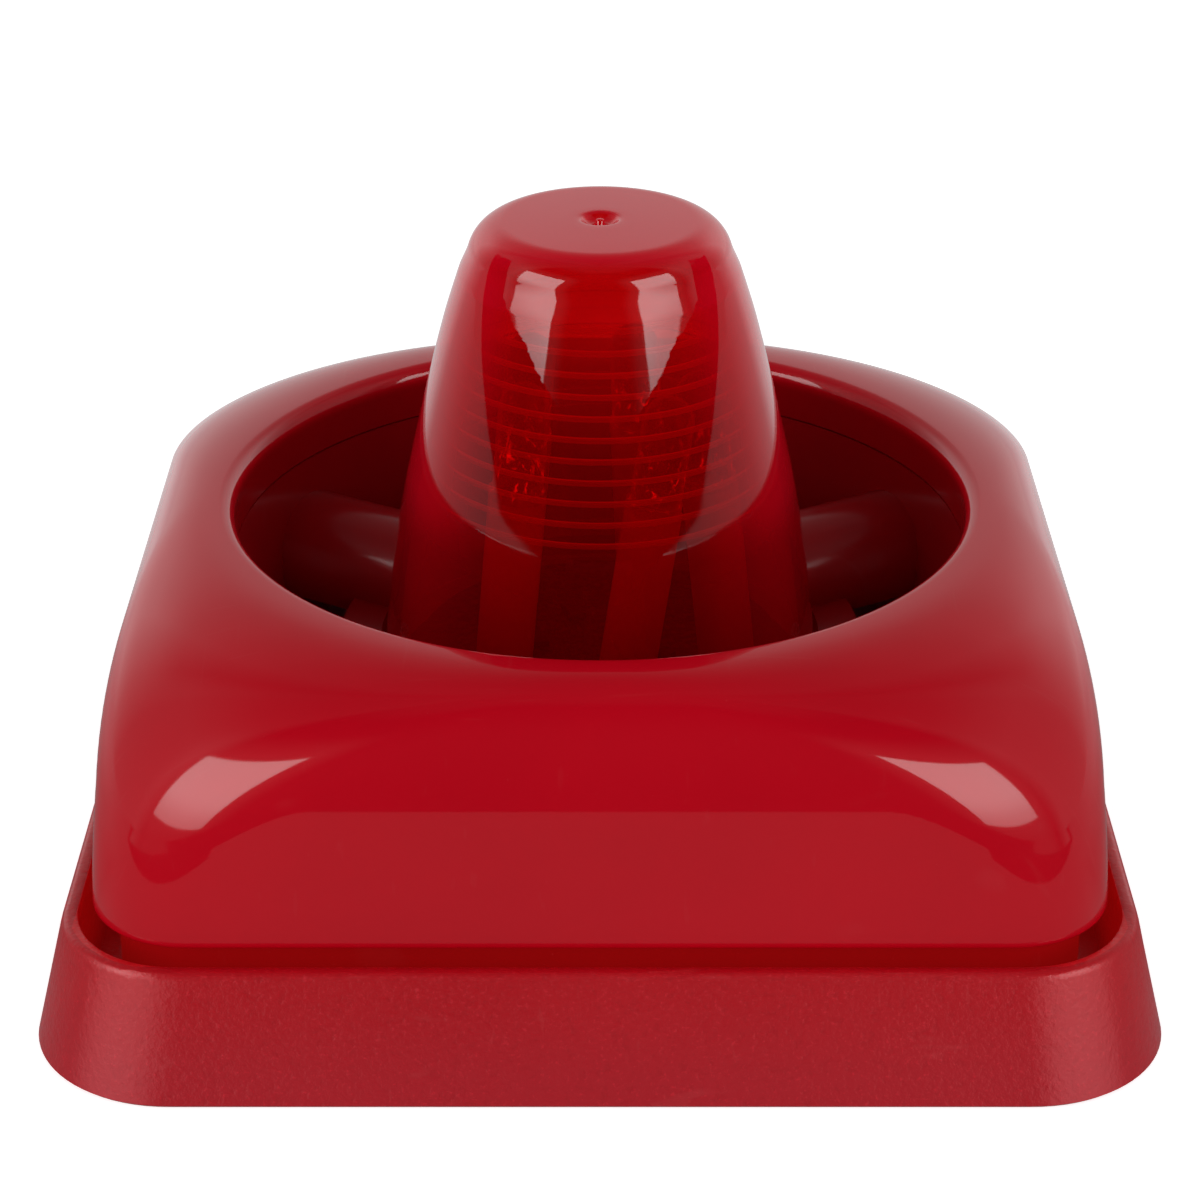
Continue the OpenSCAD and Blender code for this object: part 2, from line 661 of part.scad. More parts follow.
// =================== parts under the main board ===================
dip_x = 26;
dip_y = 24;
dip_z0 = 7.9;
trimmer_x = -26;
trimmer_y = 24;
inductor_x = -24;
inductor_y = -21;
chip_y = 27;
chip_half = 1.95;                // half width of the chip along Y
// [x, y] of the small and the large chip parts
small_parts = [
  [-12, 20], [-12, 24], [-12, 28], [-12, 32], [12, 20], [12, 24], [12, 30], [8, -24],
  [4, -24], [0, -24], [-8, -26], [-34, 8], [-34, 12], [34, 8], [34, -10]];
large_parts = [[-10, -18], [10, -17]];

module at_dip(i, y) place(dip_x + (i - 1.5) * pin_pitch, dip_y + y) children();

module dip_switch_body() color([0.62, 0.06, 0.08]) difference() {
  union() {
    place(dip_x, dip_y) box(-5.9, 5.9, -3.2, 3.2, dip_z0, board_z0);
    for (i = [0 : 3], side = [-1, 1]) at_dip(i, side * 3.3)
      box(-0.3, 0.3, -0.3, 0.3, 8.9, board_z0);
  }
  for (i = [0 : 3]) at_dip(i, 0) box(-0.75, 0.75, -1.5, 1.5, 7, 9.6);
}
module dip_slider(i) color([0.92, 0.92, 0.9]) at_dip(i, -0.75) difference() {
  union() {
    box(-0.68, 0.68, -0.7, 0.7, dip_z0, 9.5);
    box(-0.5, 0.5, -0.45, 0.45, 6.9, 8);
  }
  box(-1, 1, -0.12, 0.12, 6.5, 7.15);
}

module trimmer_body() color([0.12, 0.25, 0.6]) place(trimmer_x, trimmer_y) difference() {
  union() {
    box(-3.4, 3.4, -3.4, 3.4, 7.3, board_z0);
    box(-3.8, 3.8, -1.2, 1.2, 9.2, board_z0);
  }
  rod(2.4, 6, 9.5);
}
module trimmer_rotor() color([0.9, 0.88, 0.82]) place(trimmer_x, trimmer_y) difference() {
  union() {
    rod(2.34, 7, 9.4);
    rod(2, 6.5, 7.2);
  }
  cross_recess(1.5, 0.3, 6, 7.3);
  // longer slot arm that shows the setting
  box(-0.3, 2.2, -0.3, 0.3, 6, 7.3);
}

module inductor_core() color([0.14, 0.14, 0.15]) place(inductor_x, inductor_y)
  rotate_extrude() polygon([[0, 5.4], [4.2, 5.4], [4.2, 6.3], [1.9, 6.3],
    [1.9, 10.1], [4.2, 10.1], [4.2, board_z0], [0, board_z0]]);
// a sleeve with six ridges
module inductor_winding() color([0.72, 0.36, 0.16]) place(inductor_x, inductor_y)
  rotate_extrude() polygon(concat(
    [[1.95, 6.4]],
    [for (i = [0 : 5]) let (z = 6.4 + 0.6 * i) each [[3.7, z], [3.85, z + 0.2], [3.7, z + 0.4]]],
    [[3.7, 10], [1.95, 10]]));

module capacitors() color([0.1, 0.12, 0.2]) for (x = [20, 29]) place(x, -22)
  rotate_extrude() polygon([[0, 4.6], [2.3, 4.6], [2.45, 4.4], [2.9, 4.4], [3.15, 4.7],
    [3.15, 10.2], [2.95, 10.4], [2.95, 10.6], [3.15, 10.8],
    [3.15, board_z0 - 0.05], [0, board_z0 - 0.05]]);

module controller_chip() color([0.07, 0.07, 0.08]) difference() {
  place(0, chip_y) box(-4.3, 4.3, -chip_half, chip_half, 9.6, 11);
  place(-3.5, chip_y) rod(0.4, 9, 9.75);
}
module controller_legs() color([0.76, 0.76, 0.78])
  for (i = [0 : 6], side = [-1, 1]) place((i - 3) * pin_pitch / 2, chip_y) {
    box(-0.2, 0.2, side * chip_half, side * 2.5, 10.2, 10.4);
    box(-0.2, 0.2, side * 2.3, side * 2.5, 10.3, board_z0);
    box(-0.2, 0.2, side * 2.3, side * 3.1, 11, board_z0);
  }

module chip_parts() color([0.25, 0.22, 0.2]) {
  for (p = small_parts) place(p[0], p[1]) box(-1.6, 1.6, -0.8, 0.8, board_z0 - 0.6, board_z0);
  for (p = large_parts) place(p[0], p[1]) box(-2.2, 2.2, -1.4, 1.4, board_z0 - 1.1, board_z0);
}

// =================== fixings, side -1 at -X and 1 at +X ===================
module fixing_washer(side) color([0.85, 0.83, 0.78]) place(side * fix_x) difference() {
  rod(2.6, 11.7, 12.7);
  rod(1.48, 11, 13.5);
}
module fixing_screw(side) color(bright_steel) place(side * fix_x) difference() {
  shank_r = 1.44;
  head_r = 2.9;
  head_z = fix_boss_top + 0.05;
  union() {
    cone(1, shank_r, 5.1, 5.7);
    rod(shank_r, 5.7, head_z);
    rod(head_r, head_z, 20.3);
    cone(head_r, 2, 20.3, 21.2);
  }
  cross_recess(1.7, 0.35, 19.9, 22);
}

mounting_base();
cable_grommet();
threaded_inserts();
terminal_block();
terminal_block_screws();
terminal_contacts();
terminal_screw(0);  // terminal_screw_1
terminal_screw(1);  // terminal_screw_2
terminal_screw(2);  // terminal_screw_3
terminal_screw(3);  // terminal_screw_4
terminal_clamp(0);  // terminal_clamp_1
terminal_clamp(1);  // terminal_clamp_2
terminal_clamp(2);  // terminal_clamp_3
terminal_clamp(3);  // terminal_clamp_4
outer_cover();
horn_chassis();
cover_screws();
beacon_lens();
lens_retainer();
retainer_screws();
led_board();
led_spacers();
led_lamps();
led_leads();
led_resistors();
led_wire_red();
led_wire_black();
sounder_ring();
piezo_disc();
piezo_ceramic();
piezo_leads();
main_board();
board_screws();
pin_header();
supply_pins();
dip_switch_body();
dip_slider(0);  // dip_slider_1
dip_slider(1);  // dip_slider_2
dip_slider(2);  // dip_slider_3
dip_slider(3);  // dip_slider_4
trimmer_body();
trimmer_rotor();
inductor_core();
inductor_winding();
capacitors();
controller_chip();
controller_legs();
chip_parts();
fixing_washer(-1);  // fixing_washer_left
fixing_washer(1);  // fixing_washer_right
fixing_screw(-1);  // fixing_screw_left
fixing_screw(1);  // fixing_screw_right
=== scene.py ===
# A red beacon with a horn: a square base and cover, with a clear tapered lens on top.
# It stands on z = 0 with its axis on Z and its front facing -Y.
# Mesh sizes are in millimetres; shaders, floor, lights and camera are in metres unless noted.
import json
import math
import bpy
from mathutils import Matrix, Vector


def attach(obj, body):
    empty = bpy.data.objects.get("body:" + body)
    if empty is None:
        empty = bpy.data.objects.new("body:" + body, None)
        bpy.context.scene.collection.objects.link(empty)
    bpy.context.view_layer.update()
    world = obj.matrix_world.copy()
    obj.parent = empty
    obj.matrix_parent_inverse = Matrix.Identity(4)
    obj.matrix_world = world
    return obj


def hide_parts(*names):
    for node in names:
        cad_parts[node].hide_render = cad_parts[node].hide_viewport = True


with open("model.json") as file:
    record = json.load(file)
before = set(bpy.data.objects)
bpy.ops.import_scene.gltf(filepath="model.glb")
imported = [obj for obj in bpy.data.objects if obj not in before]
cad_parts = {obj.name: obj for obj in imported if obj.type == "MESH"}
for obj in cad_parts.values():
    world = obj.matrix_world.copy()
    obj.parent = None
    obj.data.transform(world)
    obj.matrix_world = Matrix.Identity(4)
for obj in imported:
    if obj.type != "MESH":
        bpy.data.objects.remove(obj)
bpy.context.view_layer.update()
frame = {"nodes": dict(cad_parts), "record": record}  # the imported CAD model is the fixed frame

scene = bpy.context.scene

MM = 0.001
DEGREES = 57.2958  # degrees in a radian, for angles worked out in shader nodes

# Cover: a rounded square that turns round towards the mouth
COVER_HALF = 48.15          # half width at the foot
SHOULDER_HALF = 47.8        # half width where the shoulder starts
BEND_HALF = COVER_HALF - 0.15
COVER_CORNER = 9.8
COVER_WALL = 2.0
FOOT_Z, WALL_Z, BEND_Z, SHOULDER_Z = 13.7, 14.2, 18, 23.78
SEAM_Z, CREST_Z = 33.2, 38.8
CORNER_START_Z = 13.27      # where the corners start to grow
CORNER_POWER = 2.078
SHOULDER_POWER = 2 / 2.54   # superellipse of the shoulder
MOUTH_R = 37.35
LIP_R = 1.55
CREST_R = MOUTH_R + LIP_R
SEAM_R = 39.25
OCTANT_STEPS = 40
SHOULDER_STEPS = 60

# Posts under the cover, with a blind hole up from the lower end
POST_OFFSET = 38
POST_R, POST_BORE_R = 3.2, 1.3
POST_BOTTOM, POST_BORE_TOP, POST_TOP = 15.6, 26.0, 29.3
POST_SIDES = 48

# Lens
LENS_SIDES = 256
LENS_TOP = 67.6
LENS_END = LENS_TOP - 2.7   # last height of the measured outline
LENS_WALL = 1.5
RIM_R, RIM_BOTTOM, RIM_TOP = 26.0, 18.2, 19.9
RING_COUNT, RING_PITCH, RING_DEPTH = 11, 2.03, 0.45
FIRST_RING_Z = 40.35
DOME_R = 3.9                # rounding between flank and crown

# Lens outline: (height, radius)
LENS_OUTLINE = [
    (12.0, 23.62), (16, 23.15), (20, 22.68), (25, 22.1), (30, 21.5), (34, 20.93), (38, 20.24),
    (42, 19.42), (46, 18.5), (50, 17.56), (54, 16.56), (58, 15.5), (62, 14.22), (LENS_END, 13.2),
]
# Crown skin and the crown's inner face: (radius, height above LENS_TOP)
CROWN_OUTER = [
    (7.6, 0.05), (5.5, 0.09), (3.6, 0.12), (2.5, 0.14), (2.15, 0.12), (1.9, 0.05),
    (1.75, -0.1), (1.55, -0.32), (1.3, -0.5), (1.0, -0.6), (0.7, -0.65), (0.55, -0.62),
    (0.46, -0.5), (0.42, -0.1), (0.34, 0.02), (0.15, 0.06),
]
CROWN_INNER = [
    (0.15, -1.8), (4.0, -1.83), (8.6, -1.9), (9.9, -2.25), (10.7, -2.9), (11.4, -3.8),
    (11.9, -4.7),
]


# ------------------------------------------------------------------ node builders


class Nodes:
    """Fills a node tree; every method but `node` returns output sockets."""

    def __init__(self, tree):
        self.tree = tree
        tree.nodes.clear()

    def feed(self, socket, value):
        """Link an output to the socket, or set its value; colours are given as RGB."""
        if isinstance(value, bpy.types.NodeSocket):
            self.tree.links.new(value, socket)
        elif socket.type == "RGBA":
            socket.default_value = (*value, 1)
        else:
            socket.default_value = value

    def node(self, kind, inputs=None, **props):
        node = self.tree.nodes.new("ShaderNode" + kind)
        for key, value in props.items():
            setattr(node, key, value)
        for key, value in (inputs or {}).items():
            self.feed(node.inputs[key], value)
        return node

    def make(self, kind, inputs=None, out=0, **props):
        return self.node(kind, inputs, **props).outputs[out]

    def math(self, operation, *values, clamp=False):
        node = self.node("Math", operation=operation, use_clamp=clamp)
        for socket, value in zip(node.inputs, (*values, 0.0, 0.0)):
            self.feed(socket, value)
        return node.outputs[0]

    def chain(self, operation, values, clamp):
        """Work from left to right; only the last step is clamped."""
        total = values[0]
        for value in values[1:-1]:
            total = self.math(operation, total, value)
        return self.math(operation, total, values[-1], clamp=clamp)

    def add(self, *values, clamp=False):
        return self.chain("ADD", values, clamp)

    def times(self, *values, clamp=False):
        return self.chain("MULTIPLY", values, clamp)

    def minus(self, a, b):
        return self.math("SUBTRACT", a, b)

    def invert(self, value):
        return self.minus(1.0, value)

    def most(self, a, b):
        return self.math("MAXIMUM", a, b)

    def absolute(self, value):
        return self.math("ABSOLUTE", value)

    def radius(self, x, y):
        return self.math("SQRT", self.add(self.times(x, x), self.times(y, y)))

    def azimuth(self, across, along):
        """Degrees away from the `along` axis, the same on both sides."""
        return self.times(self.math("ARCTAN2", self.absolute(across), along), DEGREES)

    def separate(self, vector):
        return self.node("SeparateXYZ", {0: vector}).outputs[:3]

    def ramp(self, value, over, to=(0.0, 1.0), kind="SMOOTHSTEP"):
        """Map the span `over` onto `to`, held level outside it."""
        inputs = {"Value": value, "From Min": over[0], "From Max": over[1],
                  "To Min": to[0], "To Max": to[1]}
        return self.make("MapRange", inputs, out="Result", interpolation_type=kind)

    def curve(self, value, points):
        """Straight pieces through (input, output) points, held level outside them."""
        level = points[0][1]
        for (start, low), (end, high) in zip(points, points[1:]):
            piece = self.ramp(value, over=(start, end), to=(0.0, high - low), kind="LINEAR")
            level = self.add(level, piece)
        return level

    def mix(self, factor, base, top, amount=None):
        """Lay colour `top` over `base`; `amount` scales the factor."""
        if amount is not None:
            factor = self.times(factor, amount)
        return self.make("Mix", {0: factor, 6: base, 7: top}, out=2, data_type="RGBA")

    def mix_shader(self, factor, first, second):
        return self.make("MixShader", {0: factor, 1: first, 2: second})

    def add_shader(self, first, second):
        return self.make("AddShader", {0: first, 1: second})

    def emission(self, color, strength):
        return self.make("Emission", {"Color": color, "Strength": strength})


class Material(Nodes):
    """The node tree of a new material, with object coordinates ready as `pos`."""

    def __init__(self, name):
        self.material = bpy.data.materials.new(name)
        self.material.use_nodes = True
        super().__init__(self.material.node_tree)
        self.surface = self.node("OutputMaterial").inputs["Surface"]
        self.pos = self.make("TexCoord", out="Object")

    def finish(self, shader):
        self.feed(self.surface, shader)
        return self.material

    def stretch(self, x, y, z, turn=(0, 0, 0)):
        return self.make("Mapping", {"Vector": self.pos, "Scale": (x, y, z), "Rotation": turn})

    def noise(self, scale, detail=3.0, rough=0.5, distort=0.0, at=None):
        return self.make("TexNoise", {
            "Vector": at or self.pos, "Scale": scale, "Detail": detail, "Roughness": rough,
            "Distortion": distort}, out="Fac")

    def bump(self, height, depth, strength=1.0, under=None):
        """`depth` is in metres; `under` is a bump normal to build on."""
        inputs = {"Height": height, "Distance": depth, "Strength": strength}
        if under is not None:
            inputs["Normal"] = under
        return self.make("Bump", inputs)

    def scratches(self, scale, over=(0.66, 0.74)):
        """Sparse fine lines in two directions, 0 to 1."""
        first = self.noise(scale, detail=2.0, at=self.stretch(1, 14, 1, turn=(0.3, 0.2, 0.5)))
        second = self.noise(scale * 0.8, detail=2.0,
                            at=self.stretch(12, 1, 3, turn=(0.1, 0.6, -0.8)))
        fewer = (over[0] + 0.02, over[1] + 0.02)
        return self.most(self.ramp(first, over=over), self.ramp(second, over=fewer))

    def facing(self):
        """0 where the surface faces the viewer, 1 at its outline."""
        return self.make("LayerWeight", {"Blend": 0.5}, out="Facing")

    def principled(self, tone, rough, normal, more):
        return self.make("BsdfPrincipled", {
            "Base Color": tone, "Roughness": rough, "Normal": normal, **more})


def shade(color, factor, lift=0.0):
    return tuple(min(1.0, v * factor + lift) for v in color)


# ------------------------------------------------------------------ materials


def plastic(name, color, rough, vary=0.08, grain=700.0, depth=6e-6, dust=0.0, specular=0.5,
            translucent=0.0):
    """Moulded plastic: slow colour variation, moulding grain and small scratches."""
    mat = Material(name)
    patches = mat.noise(scale=55.0, detail=4.0, rough=0.55)
    fine = mat.noise(scale=grain, detail=4.0, rough=0.6)
    tone = mat.mix(mat.ramp(patches, over=(0.35, 0.65)), shade(color, 1 - vary),
                   shade(color, 1 + vary))
    tone = mat.mix(mat.ramp(fine, over=(0.45, 0.75)), tone, shade(color, 1.25, lift=0.004),
                   amount=vary)
    marks = mat.scratches(scale=160.0, over=(0.63, 0.72))
    tone = mat.mix(marks, tone, shade(color, 1.2, lift=0.03), amount=0.025)
    if dust:  # settled on the faces that look up
        up = mat.separate(mat.make("NewGeometry", out="Normal"))[2]
        specks = mat.noise(scale=900.0, detail=5.0, rough=0.7)
        settled = mat.times(mat.ramp(up, over=(0.6, 1.0)), mat.ramp(specks, over=(0.55, 0.8)))
        tone = mat.mix(settled, tone, (0.45, 0.42, 0.40), amount=dust)
    roughness = mat.add(
        mat.ramp(patches, over=(0.3, 0.7), to=(rough * 0.85, rough * 1.12)),
        mat.times(marks, 0.03),
        mat.ramp(fine, over=(0.3, 0.7), to=(-0.015, 0.02)), clamp=True)
    normal = mat.bump(fine, depth=depth)
    normal = mat.bump(mat.times(marks, -1.0), depth=1.5e-6, strength=0.3, under=normal)
    shader = mat.principled(tone, roughness, normal, {
        "IOR": 1.5, "Specular IOR Level": specular, "Coat Roughness": 0.05})
    if translucent:
        through = mat.make("BsdfTranslucent", {"Color": tone, "Normal": normal})
        shader = mat.mix_shader(translucent, shader, through)
    return mat.finish(shader)


def metal(name, color, rough, tarnish, wear=0.2):
    """Plated or turned metal: machining lines, and tarnish in patches."""
    mat = Material(name)
    lines = mat.noise(scale=1400.0, rough=0.6, at=mat.stretch(1, 1, 22))
    patches = mat.noise(scale=380.0, detail=5.0, rough=0.6)
    tone = mat.mix(mat.ramp(patches, over=(0.48, 0.78)), color, tarnish, amount=wear)
    tone = mat.mix(mat.ramp(lines, over=(0.3, 0.7)), tone, shade(color, 1.15, lift=0.02),
                   amount=0.18)
    roughness = mat.add(
        mat.ramp(patches, over=(0.3, 0.75), to=(rough * 0.8, rough * 1.4)),
        mat.ramp(lines, over=(0.3, 0.7), to=(-0.04, 0.05)), clamp=True)
    normal = mat.bump(lines, depth=3e-6, strength=0.5)
    return mat.finish(mat.principled(tone, roughness, normal, {"Metallic": 1.0}))


def gloss_red(name, color, rough=0.05, haze=0.14, specular=0.5, throat=False, skirt=False):
    """Polished moulding: a sharp reflection over a faint wide one, orange peel and specks."""
    mat = Material(name)
    patches = mat.noise(scale=38.0)
    specks = mat.noise(scale=2600.0, detail=2.0)
    tone = mat.mix(mat.ramp(patches, over=(0.3, 0.7)), shade(color, 0.965), shade(color, 1.03))
    marks = mat.scratches(scale=95.0)
    tone = mat.mix(marks, tone, (0.8, 0.2, 0.2), amount=0.02)
    tone = mat.mix(mat.ramp(specks, over=(0.72, 0.82)), tone, (0.75, 0.10, 0.11), amount=0.12)
    # painted shade: inside the mouth the wall is coloured a darker red with less shine, standing
    # in for the little light it gets
    if throat:  # the wall inside the mouth sees little light: a deeper red, less shine
        x, y, z = mat.separate(mat.pos)
        painted_throat_shade = mat.times(mat.ramp(mat.radius(x, y), over=(0.0378, 0.0374)),
                         mat.ramp(z, over=(0.0380, 0.0365)))
        tone = mat.mix(painted_throat_shade, tone, (0.27, 0.0010, 0.0035), amount=0.8)
        specular = mat.minus(specular, mat.times(painted_throat_shade, 0.35))
    normal = mat.bump(mat.noise(scale=210.0, detail=2.0, rough=0.45), depth=4.5e-6)
    normal = mat.bump(mat.times(marks, -1.0), depth=1.0e-6, strength=0.35, under=normal)
    sharp = mat.add(mat.ramp(patches, over=(0.3, 0.7), to=(rough * 0.85, rough * 1.15)),
                    mat.times(marks, 0.03))
    wide = 0.33
    skins = [mat.principled(tone, roughness, normal, {
        "IOR": 1.47, "Specular IOR Level": specular}) for roughness in (sharp, wide)]
    shader = mat.mix_shader(haze, *skins)
    # painted glow: an emission on the plate's skirt stands in for red light trapped between the
    # base lip, the cover and the skirt
    if skirt:  # red light trapped between the base lip, the cover and the plate's skirt
        x, y, z = mat.separate(mat.pos)
        outward = mat.most(mat.absolute(x), mat.absolute(y))
        near = mat.times(mat.ramp(outward, over=(0.036, 0.040)),
                         mat.ramp(z, over=(0.0150, 0.0135)))
        strength = mat.times(near, mat.ramp(z, over=(0.002, 0.0125), to=(0.085, 0.125)))
        shader = mat.add_shader(shader, mat.emission((1.0, 0.012, 0.010), strength))
    return mat.finish(shader)


def painted_corner_highlight(mat, normal):
    """Painted highlight: an emission patch where the bumped normal mirrors either front light,
    in place of the wide soft patch the grain would spread on the rounded corners.
    """
    view = mat.make("VectorMath", {
        0: mat.make("NewGeometry", out="Incoming"), "Scale": -1.0}, operation="SCALE")
    mirror = mat.make("VectorMath", {0: view, 1: normal}, operation="REFLECT")
    patches = []
    for side in (-1, 1):
        light = Vector((side * 0.74, -0.66, 0.03)).normalized()
        match = mat.make("VectorMath", {0: mirror, 1: tuple(light)}, out="Value",
                         operation="DOT_PRODUCT")
        patches.append(mat.ramp(match, over=(0.72, 1.0)))
    return mat.emission((1.0, 0.42, 0.44), mat.times(mat.add(*patches), 0.075))


def painted_lip_glow(mat, x, y, z):
    """Painted glow: emission standing in for red light trapped between the lip and the cover, on
    walls that face the axis.
    """
    normal_x, normal_y, _ = mat.separate(mat.make("NewGeometry", out="Normal"))
    outward = mat.add(mat.times(normal_x, x), mat.times(normal_y, y))
    within = [mat.math("LESS_THAN", mat.absolute(v), 0.0496) for v in (x, y)]
    inside = mat.times(mat.math("LESS_THAN", outward, 0.003), mat.times(*within))
    rise = mat.ramp(z, over=(0.001, 0.009), to=(0.35, 1.0))
    return mat.emission((1.0, 0.0060, 0.0060), mat.times(inside, rise, 0.095))


def matte_red(name, color):
    """The base: spark-eroded mould texture, slightly dull, with a painted floor reflection that
    makes it paler at the foot, a painted corner highlight and a painted glow inside the lip.
    """
    mat = Material(name)
    pits = mat.noise(scale=2600.0, detail=2.0, rough=0.6)
    coarse = mat.noise(scale=1250.0, detail=2.0)
    patches = mat.noise(scale=45.0, detail=4.0, rough=0.55)
    x, y, z = mat.separate(mat.pos)
    tone = mat.mix(mat.ramp(patches, over=(0.3, 0.7)), shade(color, 0.97), shade(color, 1.03))
    # painted reflection: paler and pinker towards the foot, standing in for the pale floor
    # mirrored there
    tone = mat.mix(mat.ramp(z, over=(0.013, 0.001)), tone, (0.53, 0.0110, 0.0240), amount=0.60)
    tone = mat.mix(mat.ramp(pits, over=(0.57, 0.76)), tone, (0.82, 0.016, 0.036), amount=0.45)
    tone = mat.mix(mat.ramp(coarse, over=(0.46, 0.30)), tone, shade(color, 0.70), amount=0.22)
    tone = mat.mix(mat.scratches(scale=120.0), tone, (0.85, 0.22, 0.22), amount=0.04)
    height = mat.add(mat.times(pits, 0.5), mat.times(coarse, 0.8))
    normal = mat.bump(height, depth=6.5e-5, strength=0.9)
    roughness = mat.add(mat.ramp(patches, over=(0.3, 0.7), to=(0.33, 0.38)),
                        mat.ramp(pits, over=(0.4, 0.7), to=(-0.05, 0.06)))
    skin = mat.principled(tone, roughness, normal, {"IOR": 1.46})
    # painted highlight on the corners and painted glow inside the lip, both emission
    painted_light_terms = mat.add_shader(painted_corner_highlight(mat, normal), painted_lip_glow(mat, x, y, z))
    return mat.finish(mat.add_shader(skin, painted_light_terms))


def lens_rings(mat, z, near_inside):
    """Moulded rings inside the near wall; z is in millimetres."""
    turn = mat.math("FRACT", mat.math("DIVIDE", mat.minus(z, 40.32), RING_PITCH))
    pulse = mat.times(mat.ramp(turn, over=(0.0, 0.05)), mat.ramp(turn, over=(0.30, 0.16)))
    band = mat.times(mat.ramp(z, over=(39.9, 40.2)), mat.ramp(z, over=(61.6, 61.0)))
    return mat.times(pulse, band, near_inside)


def painted_reflection_cut(mat, x, y, z):
    """Painted cut in the reflection: areas of the front flanks, below a jagged edge, where the
    mirror reflection is taken out to trim the window reflections' outline; z in mm.
    """
    azimuth = mat.azimuth(x, mat.times(y, -1.0))
    jitter = mat.noise(scale=1500.0, detail=1.0, at=mat.stretch(0.4, 0.4, 1.0))
    jagged = mat.times(mat.minus(jitter, 0.5), 1.1)
    # azimuth in degrees, height of the edge in mm
    edge = mat.add(jagged, mat.curve(azimuth, [
        (9.0, 52.4), (22.5, 57.3), (28.0, 59.6), (37.4, 61.8), (43.0, 63.2), (44.5, 66.4)]))
    below = mat.ramp(mat.minus(z, edge), over=(0.12, -0.12))
    # height in mm, azimuth of the outer limit in degrees
    limit = mat.curve(z, [
        (38.0, 12.0), (41.0, 21.0), (44.0, 30.0), (54.0, 42.5), (60.0, 50.5), (64.5, 56.0)])
    across = mat.times(mat.ramp(azimuth, over=(8.0, 10.0)),
                       mat.ramp(mat.minus(azimuth, limit), over=(0.4, -0.4)))
    return mat.times(below, across)


def lens_material(name):
    """Clear red lens: tinted see-through wall, sharp skin reflection, rings and dense crown."""
    mat = Material(name)
    geometry = mat.node("NewGeometry").outputs
    x, y, z_metres = mat.separate(mat.pos)
    z = mat.times(z_metres, 1000.0)
    behind = geometry["Backfacing"]
    inner_wall = mat.make("Attribute", out="Fac", attribute_name="inner")
    outer_skin = mat.times(mat.invert(behind), mat.invert(inner_wall))
    ring = lens_rings(mat, z, mat.times(inner_wall, behind))
    # height in mm, added density
    crown = mat.curve(z, [(50.0, 0.0), (60.3, 0.15), (61.9, 0.20), (62.3, 0.38), (63.6, 0.38),
                          (65.4, 0.24), (66.9, 0.64)])
    ripple = mat.noise(scale=160.0)
    swirl = mat.noise(scale=90.0, detail=4.0, rough=0.6, distort=0.6,
                      at=mat.stretch(1, 1, 0.35))
    outline = mat.facing()

    # the path through the wall grows towards the outline, so the tint deepens there
    tint = mat.mix(mat.ramp(outline, over=(0.35, 0.97)), (0.80, 0.030, 0.034),
                   (0.50, 0.006, 0.009))
    tint = mat.mix(mat.ramp(swirl, over=(0.45, 0.7)), tint, (0.70, 0.016, 0.022), amount=0.22)
    clear = mat.make("BsdfTransparent", {"Color": tint})
    milky = mat.mix(mat.ramp(ripple, over=(0.3, 0.7)), (0.62, 0.0030, 0.0075),
                    (0.72, 0.0042, 0.0095))
    milky = mat.mix(mat.ramp(outline, over=(0.08, 0.32)), milky, (0.64, 0.0040, 0.0340))
    scatter = mat.mix_shader(0.55, mat.make("BsdfDiffuse", {"Color": milky}),
                             mat.make("BsdfTranslucent", {"Color": milky}))
    # painted glow: emission standing in for light that has bounced about inside the wall and
    # comes out red
    painted_lens_glow = mat.emission((1.0, 0.0035, 0.0060), mat.add(
        mat.ramp(z, over=(38.0, 60.0), to=(0.11, 0.14)),
        mat.ramp(outline, over=(0.10, 0.45), to=(0.0, 0.025))))
    body = mat.add_shader(scatter, painted_lens_glow)
    marks = mat.scratches(scale=120.0)
    to_outline = mat.times(mat.ramp(outline, over=(0.12, 0.66)),
                           mat.ramp(z, over=(36.0, 42.0), to=(0.17, 0.54)))
    least = 0.11
    density = mat.add(least, crown, mat.times(ring, 0.46), to_outline, mat.times(marks, 0.03))
    density = mat.times(density, mat.ramp(z, over=(19.5, 40.0), to=(0.75, 1.0)), clamp=True)
    wall = mat.mix_shader(density, clear, body)

    normal = mat.bump(ripple, depth=2.0e-6)
    roughness = mat.add(mat.ramp(ripple, over=(0.3, 0.7), to=(0.025, 0.06)),
                        mat.times(marks, 0.05))
    skin = mat.make("BsdfGlossy", {
        "Color": (1, 1, 1), "Roughness": roughness, "Normal": normal})
    fresnel = mat.make("Fresnel", {"IOR": 1.5, "Normal": normal})
    # painted: seen from behind, the flat top's mirror reflection is cut back to a soft sheen
    # instead of mirroring the front lights
    seen_y = mat.separate(geometry["Incoming"])[1]
    up = mat.separate(geometry["Normal"])[2]
    top_reflection_cut = mat.times(mat.ramp(seen_y, over=(0.0, 0.45), to=(0.0, 0.72)),
                         mat.ramp(up, over=(0.80, 0.96)))
    mirror = mat.times(fresnel, mat.invert(painted_reflection_cut(mat, x, y, z)), mat.invert(top_reflection_cut),
                       outer_skin)
    return mat.finish(mat.mix_shader(mirror, wall, skin))


